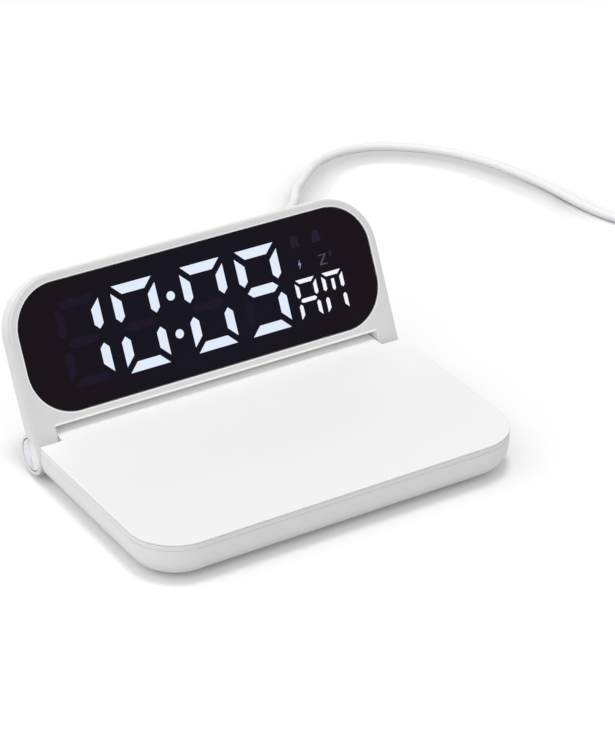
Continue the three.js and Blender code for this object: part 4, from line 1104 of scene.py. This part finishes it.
sign_piece("unlit_bars", unlit, glowing("sign_off_painted_glow", (0.003, 0.0015, 0.011)))


# Small signs for the alarms, charging and snooze.
# Two bells, a bolt and a sleeping Z stand dimly over the letters, and only the bolt is lit; the bells and
# the Zs have a faint painted glow.
def bell(x, y, size):
    """A bell's outline: a round head, flaring sides and a straight foot."""
    head = arc(0, 0.55, 0.75, 0.0, 0.5, 16)
    plan = head + [(-0.85, -0.65), (-1.05, -1.0), (1.05, -1.0), (0.85, -0.65)]
    return [(x + p * size, y + q * size) for p, q in plan]


def letter_z(x, y, half, high, stroke):
    """The outline of a Z, whose right half is its left half turned upside down."""
    slope = 2 * stroke * 0.72 + 0.15
    left = [
        (-half, high),
        (-half, high - stroke),
        (half - slope, high - stroke),
        (-half, -high + stroke),
        (-half, -high),
    ]
    return moved(left + [(-p, -q) for p, q in left], x, y)


bolt = [(0.35, 1.85), (-0.65, -0.15), (-0.1, -0.15), (-0.3, -1.85), (0.7, 0.35), (0.15, 0.35)]
bells = [bell(x, y=47.7, size=1.9) for x in (41.4, 50.6)]
big_z = letter_z(x=51.4, y=38.95, half=1.6, high=1.9, stroke=0.36)
small_z = letter_z(x=54.9, y=40.3, half=0.75, high=0.75, stroke=0.3)
sign_piece("alarm_bells", bells, glowing("bell_painted_glow", (0.009, 0.0075, 0.019)))
sign_piece("charge_bolt", [moved(bolt, x=41.6, y=39.4)], glowing("bolt_light", (0.35, 0.35, 0.62), 0.8))
sign_piece("snooze_letter", [big_z], glowing("snooze_painted_glow", (0.11, 0.1, 0.13), 0.75))
sign_piece("snooze_small_letter", [small_z], glowing("snooze_small_painted_glow", (0.03, 0.025, 0.035), 0.75))


# Hinge caps.
# A smooth pearly disc is pressed into each arm's round end and covers the pin. Lighter and darker streaks
# running out from its middle are painted reflections.
# Its edge is rounded, and a thin black ring laid in its recess stands in for the shadow in the gap round
# it.
cap_play = 0.05
cap_rim = 0.15
ring_sink = 0.2
ring_rim = 0.05
ring_hole = cap_radius - 0.02
cap_painted_reflections = ((0.16, 0.0), (0.22, 1.0), (0.3, 0.0), (0.62, 0.0), (0.7, 0.7), (0.77, 0.0))


def pearl_painted_reflections(name, colour, reflection_colour):
    """A pearly disc with faint lighter and darker streaks running out from the hinge axis, painted
    reflections in its colour.
    """
    material = satin_plastic(name, colour, roughness=0.3, grain=0.08)
    tree = material.node_tree
    turn = Matrix(((0, 1, 0), (0, 0, 1), (1, 0, 0)))
    axis = -(turn @ on_base(0, 0, hinge_z))
    feeds = {"Vector": own_place(tree), "Rotation": turn.to_euler(), "Location": axis}
    about = made(tree, "Mapping", "Vector", feeds)
    angle = made(tree, "TexGradient", "Fac", {"Vector": about}, gradient_type="RADIAL")
    streaks = made(tree, "ValToRGB", "Color", {"Fac": angle})
    ramp = streaks.node.color_ramp
    ramp.interpolation = "B_SPLINE"
    for stop in ramp.elements:
        stop.color = (*colour, 1)
    for at, share in cap_painted_reflections:
        stop = ramp.elements.new(at)
        stop.color = (*[c + (s - c) * share for c, s in zip(colour, reflection_colour)], 1)
    feed(tree, tree.nodes["Principled BSDF"], {"Base Color": streaks})
    return material


cap_white = pearl_painted_reflections("cap_white", (0.97, 0.95, 0.99), (0.64, 0.61, 0.72))
cap_shadow = matt_rubber("cap_shadow", (0.035, 0.035, 0.04))
for name, side in hands:
    sizes = (cap_radius - cap_play, cap_rim, rim_steps, cap_inner, cap_outer)
    cap = round_plate(f"hinge_cap_{name}_disc", *sizes, side)
    eased(cap, width=0.05)
    dressed(cap, cap_white, "display", "cap_white", f"hinge_cap_{name}")
    # The black ring is a painted shadow: a dark piece where the gap round the cap shows shade.
    sizes = (cap_radius + seat_gap - cap_play, ring_rim, rim_steps, cap_inner, cap_outer - ring_sink)
    ring = round_plate(f"hinge_cap_{name}_ring", *sizes, side)
    ends = (side * (cap_inner - past), side * clock_width)
    worked(ring, "DIFFERENCE", [rod(*ends, 0, 0, ring_hole, on_display, fine_sides)])
    even_shading(ring)
    dressed(ring, cap_shadow, "display", "inner_black")


# Power socket and the lead's USB-C plug.
# The socket is a folded tin box with round sides, soldered to the board, with a contact tongue inside.
# The plug's tin shell goes into it, and its white grip ends in a ribbed, tapering relief.
socket_tin = mottled("socket_tin", (0.55, 0.56, 0.58), 0.28, 1.0, 400, 0.1)
lead_white = satin_plastic("lead_white", (0.9, 0.9, 0.9), roughness=0.45, grain=0.2)
socket_x = (socket_low.x + socket_high.x) / 2
socket_z = (socket_low.z + socket_high.z) / 2
socket_wall = 0.4
plug_wall = 0.5
plug_mouth = 5.0
side_flat = 0.05
contacts_root = 0.2
contacts_tip = 4.9
plug_low, plug_high = cad_box("usb_c_plug_shell")
grip_low, grip_high = cad_box("usb_c_plug_grip")
grip_length = 20.0
grip_corner = 2.2
relief_length = 10.0
relief_radius = 2.6
relief_taper = 0.4
relief_sides = 44
rib_count = 5
rib_depth = 0.3


def at_socket(p, q, y):
    """Across the socket, up from its middle, and away from the user along Y."""
    return Vector((socket_x - p, y, socket_z + q)) * mm


def oblong(half, high, radius, steps=10):
    return rounded_plan(-half, half, -high, high, radius, radius, steps)


def tin_box(name, low, high, wall, mouth):
    """A flat box of folded tin with round sides, hollowed between the ends of its mouth."""
    half = (high.x - low.x) / 2
    rise = (high.z - low.z) / 2
    box = slab(name, oblong(half, rise, rise - side_flat), low.y, high.y, at_socket)
    hollow = oblong(half - wall, rise - wall, rise - wall - side_flat)
    return worked(box, "DIFFERENCE", [slab("mouth", hollow, *mouth, at_socket)])


mouth = (socket_low.y + socket_wall, socket_high.y + past)
socket = tin_box("usb_socket_box", socket_low, socket_high, socket_wall, mouth)
contact_ends = (socket_low.y + contacts_root, socket_low.y + contacts_tip)
contacts = slab("contacts", oblong(half=3.3, high=0.3, radius=0.1), *contact_ends, at_socket)
worked(socket, "UNION", [contacts])
eased(socket, width=0.05, segments=1)
dressed(socket, socket_tin, "base", "socket_tin", "usb_socket")

mouth = (plug_low.y - past, plug_low.y + plug_mouth)
plug_shell = tin_box("usb_c_plug_tin", plug_low, plug_high, plug_wall, mouth)
eased(plug_shell, width=0.05, segments=1)
dressed(plug_shell, socket_tin, "base", "socket_tin", "usb_c_plug_shell")

grip_half = (grip_high.x - grip_low.x) / 2
grip_rise = (grip_high.z - grip_low.z) / 2
grip_steps = ((0.0, 0.5), (0.15, 0.2), (0.5, 0.0), (grip_length - 2.5, 0.0), (grip_length - 0.9, 0.25))
rings = []
for step, inset in grip_steps:
    plan = oblong(grip_half - inset, grip_rise - inset, grip_corner - inset)
    rings += at_levels(plan, [grip_low.y + step])
grip_end = oblong(grip_half - 0.9, grip_rise - 0.75, radius=1.6)
rings += at_levels(grip_end, [grip_low.y + grip_length])
c_grip = loft("usb_c_plug_moulding", rings, at_socket)
relief_from = grip_low.y + grip_length
rib_width = relief_length / rib_count
profile = [(relief_radius, relief_from - bite)]
for i in range(rib_count):
    start = relief_from + relief_length * i / rib_count
    radius = relief_radius - relief_taper * (i + 0.5) / rib_count
    neck = radius - rib_depth
    profile += [(neck, start + 0.1 * rib_width), (neck, start + 0.4 * rib_width)]
    profile += [(radius, start + 0.5 * rib_width), (radius, start + 0.95 * rib_width)]
worked(c_grip, "UNION", [turned("relief", profile, 0, 0, at_socket, relief_sides)])
eased(c_grip, width=0.12)
dressed(c_grip, lead_white, "base", "lead_white", "usb_c_plug_grip")


# Power lead.
# A round white lead, jacketed in soft satin plastic, lies in loose curves on the table behind the clock.
# The length that isn't needed is wound in two layers of a neat round coil, further along the table.
lead_diameter = 3.8
lead_rest = lead_diameter / 2 + 0.1
wind_turns = 5
wind_pitch = 4.4
wind_rise = 4.3
wind_stand = 0.9
wind_steps = 48
wind_centre = Vector((251, 69, 0))
wind_entry = math.radians(186.7)
wind_middle = 20.9
wind_half = wind_pitch * wind_turns / 4
wind_outer = wind_middle + wind_half
wind_low = wind_stand + lead_diameter / 2
wind_way = Vector((-math.sin(wind_entry), math.cos(wind_entry), 0))
run_out = 24.0
run_steps = 12
plug_a_z = 4.0
line_steps = 8


def eased_step(value, low, high):
    share = min(max((value - low) / (high - low), 0.0), 1.0)
    return share * share * (3 - 2 * share)


def wind_place(turn):
    """The wound lead's middle: it spirals in, climbs a layer where it turns back, and spirals out."""
    angle = wind_entry + 2 * math.pi * turn
    radius = wind_outer - wind_pitch * min(turn, wind_turns - turn)
    climb = eased_step(turn, wind_turns / 2 - 0.25, wind_turns / 2 + 0.25)
    flat = Vector((math.cos(angle), math.sin(angle), 0)) * radius
    return wind_centre + flat + Vector((0, 0, wind_low + wind_rise * climb))


wound = [wind_place(0) - wind_way * lead_diameter]
wound += [wind_place(i / wind_steps) for i in range(wind_turns * wind_steps + 1)]
wind_exit = wound[-1]
for i in range(1, run_steps + 1):
    run = run_out * i / run_steps
    place = wind_exit + wind_way * run
    fall = eased_step(run, run_out / 4, run_out - lead_diameter)
    place.z = wind_exit.z + (plug_a_z - wind_exit.z) * fall
    wound.append(place)

lead_curves = (
    (48, 120),
    (60, 130.5),
    (74, 139.5),
    (89, 147.5),
    (104, 156.5),
    (112.5, 162.8),
    (118.2, 168.9),
    (122.6, 175.3),
    (128.9, 181.3),
    (136.8, 188.2),
    (145, 194),
    (153, 196.9),
    (161.2, 197.9),
    (173.7, 195.3),
    (186.7, 186.7),
    (199.4, 172.3),
    (208.5, 153.1),
    (214.1, 130.4),
    (215.7, 118.5),
    (216.5, 107),
    (217.8, 97),
)
lead_route = [
    (socket_x, grip_high.y + seat_gap, socket_z),
    (socket_x, grip_high.y + 8, socket_z),
    (30.6, 85.5, 4.2),
    (33, 96, 2.7),
    (38.5, 108, 2),
    *[(x, y, lead_rest) for x, y in lead_curves],
    (219.9, 87.5, lead_rest + 0.2),
    wound[0] - wind_way * lead_diameter * 2,
    wound[0] - wind_way * seat_gap,
]


def smooth_line(points, spans):
    """A smooth line through the points, with so many short steps between each two."""
    knots = [Vector(p) for p in points]
    knots = [2 * knots[0] - knots[1], *knots, 2 * knots[-1] - knots[-2]]
    line = []
    for a, b, c, d in zip(knots, knots[1:], knots[2:], knots[3:]):
        before, along, after = (math.sqrt((q - p).length) for p, q in ((a, b), (b, c), (c, d)))
        leave = ((b - a) / before - (c - a) / (before + along) + (c - b) / along) * along
        arrive = ((c - b) / along - (d - b) / (along + after) + (d - c) / after) * along
        square = 3 * (c - b) - 2 * leave - arrive
        cube = 2 * (b - c) + leave + arrive
        for i in range(spans):
            t = i / spans
            line.append(b + leave * t + square * t * t + cube * t**3)
    line.append(knots[-2])
    return line


lead_line = smooth_line(lead_route, line_steps) + wound
lead_length = sum((q - p).length for p, q in zip(lead_line, lead_line[1:]))
lead_curve = bpy.data.curves.new("power_lead", "CURVE")
lead_curve.dimensions = "3D"
lead_curve.bevel_depth = lead_diameter / 2 * mm
lead_curve.bevel_resolution = 6
lead_curve.use_fill_caps = True
spline = lead_curve.splines.new("POLY")
spline.points.add(len(lead_line) - 1)
for place, knot in zip(lead_line, spline.points):
    knot.co = (*(place * mm), 1)
spline.use_smooth = True
lead = placed("power_lead", lead_curve)
dressed(lead, lead_white, "base", "lead_white", "cord_lead", "cord_coil")


# Lead tie.
# A thin black band of soft plastic goes once round the whole bundle of turns.
# It is bent to a closed loop that keeps the coil together.
tie_black = matt_rubber("tie_black", (0.02, 0.02, 0.022))
tie_width = 8.0
tie_thickness = 0.6
tie_turn = math.radians(20)
tie_half = wind_half + lead_diameter / 2 + 2 * seat_gap + 0.4
tie_top = wind_stand + lead_diameter + wind_rise + seat_gap


def on_tie(p, q, s):
    """Across the bundle, up from the table, and along the turns."""
    out = wind_middle + p
    x = out * math.cos(tie_turn) + s * math.sin(tie_turn)
    y = out * math.sin(tie_turn) - s * math.cos(tie_turn)
    return Vector((wind_centre.x + x, wind_centre.y + y, q)) * mm


def tie_loop(name, grow, half_length):
    """A body round the bundle, larger than the band's inside by what it grows."""
    middle = (tie_top + tie_thickness) / 2
    high = (tie_top - tie_thickness) / 2 + grow
    plan = oblong(tie_half + grow, high, lead_diameter / 2 - tie_thickness + grow)
    return slab(name, moved(plan, 0, middle), -half_length, half_length, on_tie)


tie = tie_loop("cord_tie_band", tie_thickness, tie_width / 2)
worked(tie, "DIFFERENCE", [tie_loop("bundle", 0, tie_width)])
eased(tie, width=0.12)
dressed(tie, tie_black, "base", "inner_black", "cord_tie")


# The lead's other plug.
# A USB-A plug lies where the lead leaves its coil. Its white grip is moulded round the lead's end,
# with four grooves on each side for the fingers, and its shell is folded from tin.
lead_end = wound[-1] + wind_way * seat_gap
plug_side = wind_way.cross(Vector((0, 0, 1)))
a_grip_length = 22.0
a_grip_half = 7.5
a_grip_high = 4.0
a_grip_corner = 2.5
a_grip_near = [(0.0, 1.6), (0.4, 0.9), (1.2, 0.4), (2.4, 0.0)]
a_grip_far = [(a_grip_length - 0.4, 0.0), (a_grip_length, 0.35)]
groove_count = 4
groove_from = 8.0
groove_pitch = 2.2
groove_width = 0.9
groove_depth = 0.35
groove_high = 2.2
a_shell_from = a_grip_length + seat_gap
a_shell_to = a_shell_from + 12
a_mouth = (-5.5, 5.5, -0.25, 1.75, a_shell_from + 0.5, a_shell_to + past)
latch_x = 2.6
latch_half = 1.1
latch = (1.5, 3, a_shell_from + 4.5, a_shell_from + 7)


def on_plug_a(p, q, s):
    """Across the plug, up, and along it from the lead's end."""
    return (lead_end + wind_way * s - plug_side * p + Vector((0, 0, q))) * mm


rings = []
for s, inset in a_grip_near + a_grip_far:
    less = inset * 0.6
    rings += at_levels(oblong(a_grip_half - inset, a_grip_high - less, a_grip_corner - less), [s])
a_grip = loft("usb_a_plug_moulding", rings, on_plug_a)
grooves = []
for i in range(groove_count):
    s = groove_from + groove_pitch * i
    for side in (-1, 1):
        ends = (side * (a_grip_half - groove_depth), side * (a_grip_half + bite))
        grooves.append(block(*ends, -groove_high, groove_high, s, s + groove_width, on_plug_a))
worked(a_grip, "DIFFERENCE", grooves)
eased(a_grip, width=0.12)
dressed(a_grip, lead_white, "base", "lead_white", "usb_a_plug_grip")

a_plan = oblong(half=6, high=2.25, radius=0.4, steps=4)
a_shell = slab("usb_a_plug_tin", a_plan, a_shell_from, a_shell_to, on_plug_a)
a_cuts = [block(*a_mouth, on_plug_a)]
for x in (-latch_x, latch_x):
    a_cuts.append(block(x - latch_half, x + latch_half, *latch, on_plug_a))
worked(a_shell, "DIFFERENCE", a_cuts)
eased(a_shell, width=0.05, segments=1)
dressed(a_shell, socket_tin, "base", "socket_tin", "usb_a_plug_shell")


# Table and light.
# A wide white table top in even studio light: a soft lamp straight above, and a pale room,
# brightest overhead and on the left. Seen direct or mirrored, the room is plain white.
table_reach = 4.0
bounce_grey = (0.55, 0.55, 0.55)
white = (1, 1, 1)
# Behind the clock, the table's colour carries a painted shadow in front of the lead, darker where the lead
# hides more of the table close by; further back, the table shows that colour by an even glow of its own
# instead of the lamps' light.
shadow_reach = 0.012
shadow_fade = 0.64
shadow_full = 0.435
shadow_dark = 0.62
shadow_side = {"X": 0.35, "Y": 0.9, "Z": 0.2}
shadow_zone = {"From Min": 0.08, "From Max": 0.11}
even_zone = {"From Min": 0.115, "From Max": 0.15}
table_glow = 0.03
room_level = 0.25
room_sides = (("X", -1, 0.86, "LINEAR"), ("Y", -1, 0.29, "LINEAR"), ("Z", 1, 0.4, "SMOOTHSTEP"))


def seen_rays(tree):
    """One for rays that show a surface to the camera, straight, mirrored or through glass, else nought."""
    rays = made(tree, "LightPath", "Is Camera Ray", {}).node.outputs
    feeds = {0: rays["Is Camera Ray"], 1: rays["Is Glossy Ray"]}
    either = made(tree, "Math", "Value", feeds, operation="ADD")
    feeds = {0: either, 1: rays["Is Transmission Ray"]}
    return made(tree, "Math", "Value", feeds, operation="ADD", use_clamp=True)


corners = [(x * table_reach, y * table_reach, 0) for x, y in ((-1, -1), (1, -1), (1, 1), (-1, 1))]
table_top = meshed("table_top", corners, [[0, 1, 2, 3]])
table_white, tree, shader = new_finish("table_white")
tree.nodes.remove(shader)
bounced = made(tree, "BsdfDiffuse", "BSDF", {"Color": bounce_grey})
toward = made(tree, "CombineXYZ", "Vector", shadow_side)
beside = made(tree, "AmbientOcclusion", "AO", {"Distance": shadow_reach, "Normal": toward}, samples=8)
hidden = made(tree, "Math", "Value", {0: 1.0, 1: beside}, operation="SUBTRACT")
faded = made(tree, "Math", "Value", {0: hidden, 1: shadow_fade}, operation="POWER")
feeds = {"Value": faded, "From Max": shadow_full, "To Min": 1.0, "To Max": shadow_dark}
painted_shadow = made(tree, "MapRange", "Result", feeds)
along = made(tree, "SeparateXYZ", "Y", {"Vector": own_place(tree)})
behind_clock = made(tree, "MapRange", "Result", {"Value": along, **shadow_zone})
painted_shade = blend(tree, behind_clock, white, painted_shadow)
shown = made(tree, "BsdfDiffuse", "BSDF", {"Color": painted_shade})
glow = made(tree, "Emission", "Emission", {"Strength": table_glow})
lit_top = made(tree, "AddShader", "Shader", {0: shown, 1: glow})
even_top = made(tree, "Emission", "Emission", {"Color": painted_shade})
far_behind = made(tree, "MapRange", "Result", {"Value": along, **even_zone})
seen_top = made(tree, "MixShader", "Shader", {0: far_behind, 1: lit_top, 2: even_top})
both = made(tree, "MixShader", "Shader", {0: seen_rays(tree), 1: bounced, 2: seen_top})
feed(tree, tree.nodes["Material Output"], {"Surface": both})
table_top.data.materials.append(table_white)
table_top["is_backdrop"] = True

lamp = bpy.data.lights.new("lamp_above", "SUN")
lamp.energy = 0.745
lamp.angle = math.radians(12)
placed("lamp_above", lamp)

world = bpy.data.worlds.new("pale_room")
bpy.context.scene.world = world
world.use_nodes = True
tree = world.node_tree
where = made(tree, "TexCoord", "Generated", {})
axes = made(tree, "SeparateXYZ", "X", {"Vector": where}).node.outputs
light = room_level
for axis, way, level, growth in room_sides:
    feeds = {"Value": axes[axis], "From Max": way}
    side = made(tree, "MapRange", "Result", feeds, interpolation_type=growth)
    light = made(tree, "Math", "Value", {0: side, 1: level, 2: light}, operation="MULTIPLY_ADD")
pale = tree.nodes["Background"]
feed(tree, pale, {"Color": white, "Strength": light})
plain = made(tree, "Background", "Background", {"Color": white})
both = made(tree, "MixShader", "Shader", {0: seen_rays(tree), 1: pale.outputs["Background"], 2: plain})
feed(tree, tree.nodes["World Output"], {"Surface": both})


# Camera.
# It stands in front of the clock to the user's left and looks down on it, as the picture does.
camera_place = Vector((-441.56, -736.31, 518.04)) * mm
right = Vector((0.8487335, -0.5288114, 0.0031529))
up = Vector((0.2562641, 0.4165002, 0.8722708))
back = Vector((-0.4625799, -0.7395175, 0.4890130))
camera = bpy.data.cameras.new("camera")
camera.lens = 138.66
camera.sensor_width = 36
camera.clip_start = 0.05
camera.clip_end = 20
camera_object = placed("camera", camera)
turn = Matrix((right, up, back)).transposed().to_4x4()
camera_object.matrix_world = Matrix.Translation(camera_place) @ turn
bpy.context.scene.camera = camera_object
bpy.context.scene.view_settings.view_transform = "Standard"

visual_low, visual_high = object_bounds()
sizes = {"cad": [list(cad_low), list(cad_high)], "visual": [list(visual_low), list(visual_high)]}
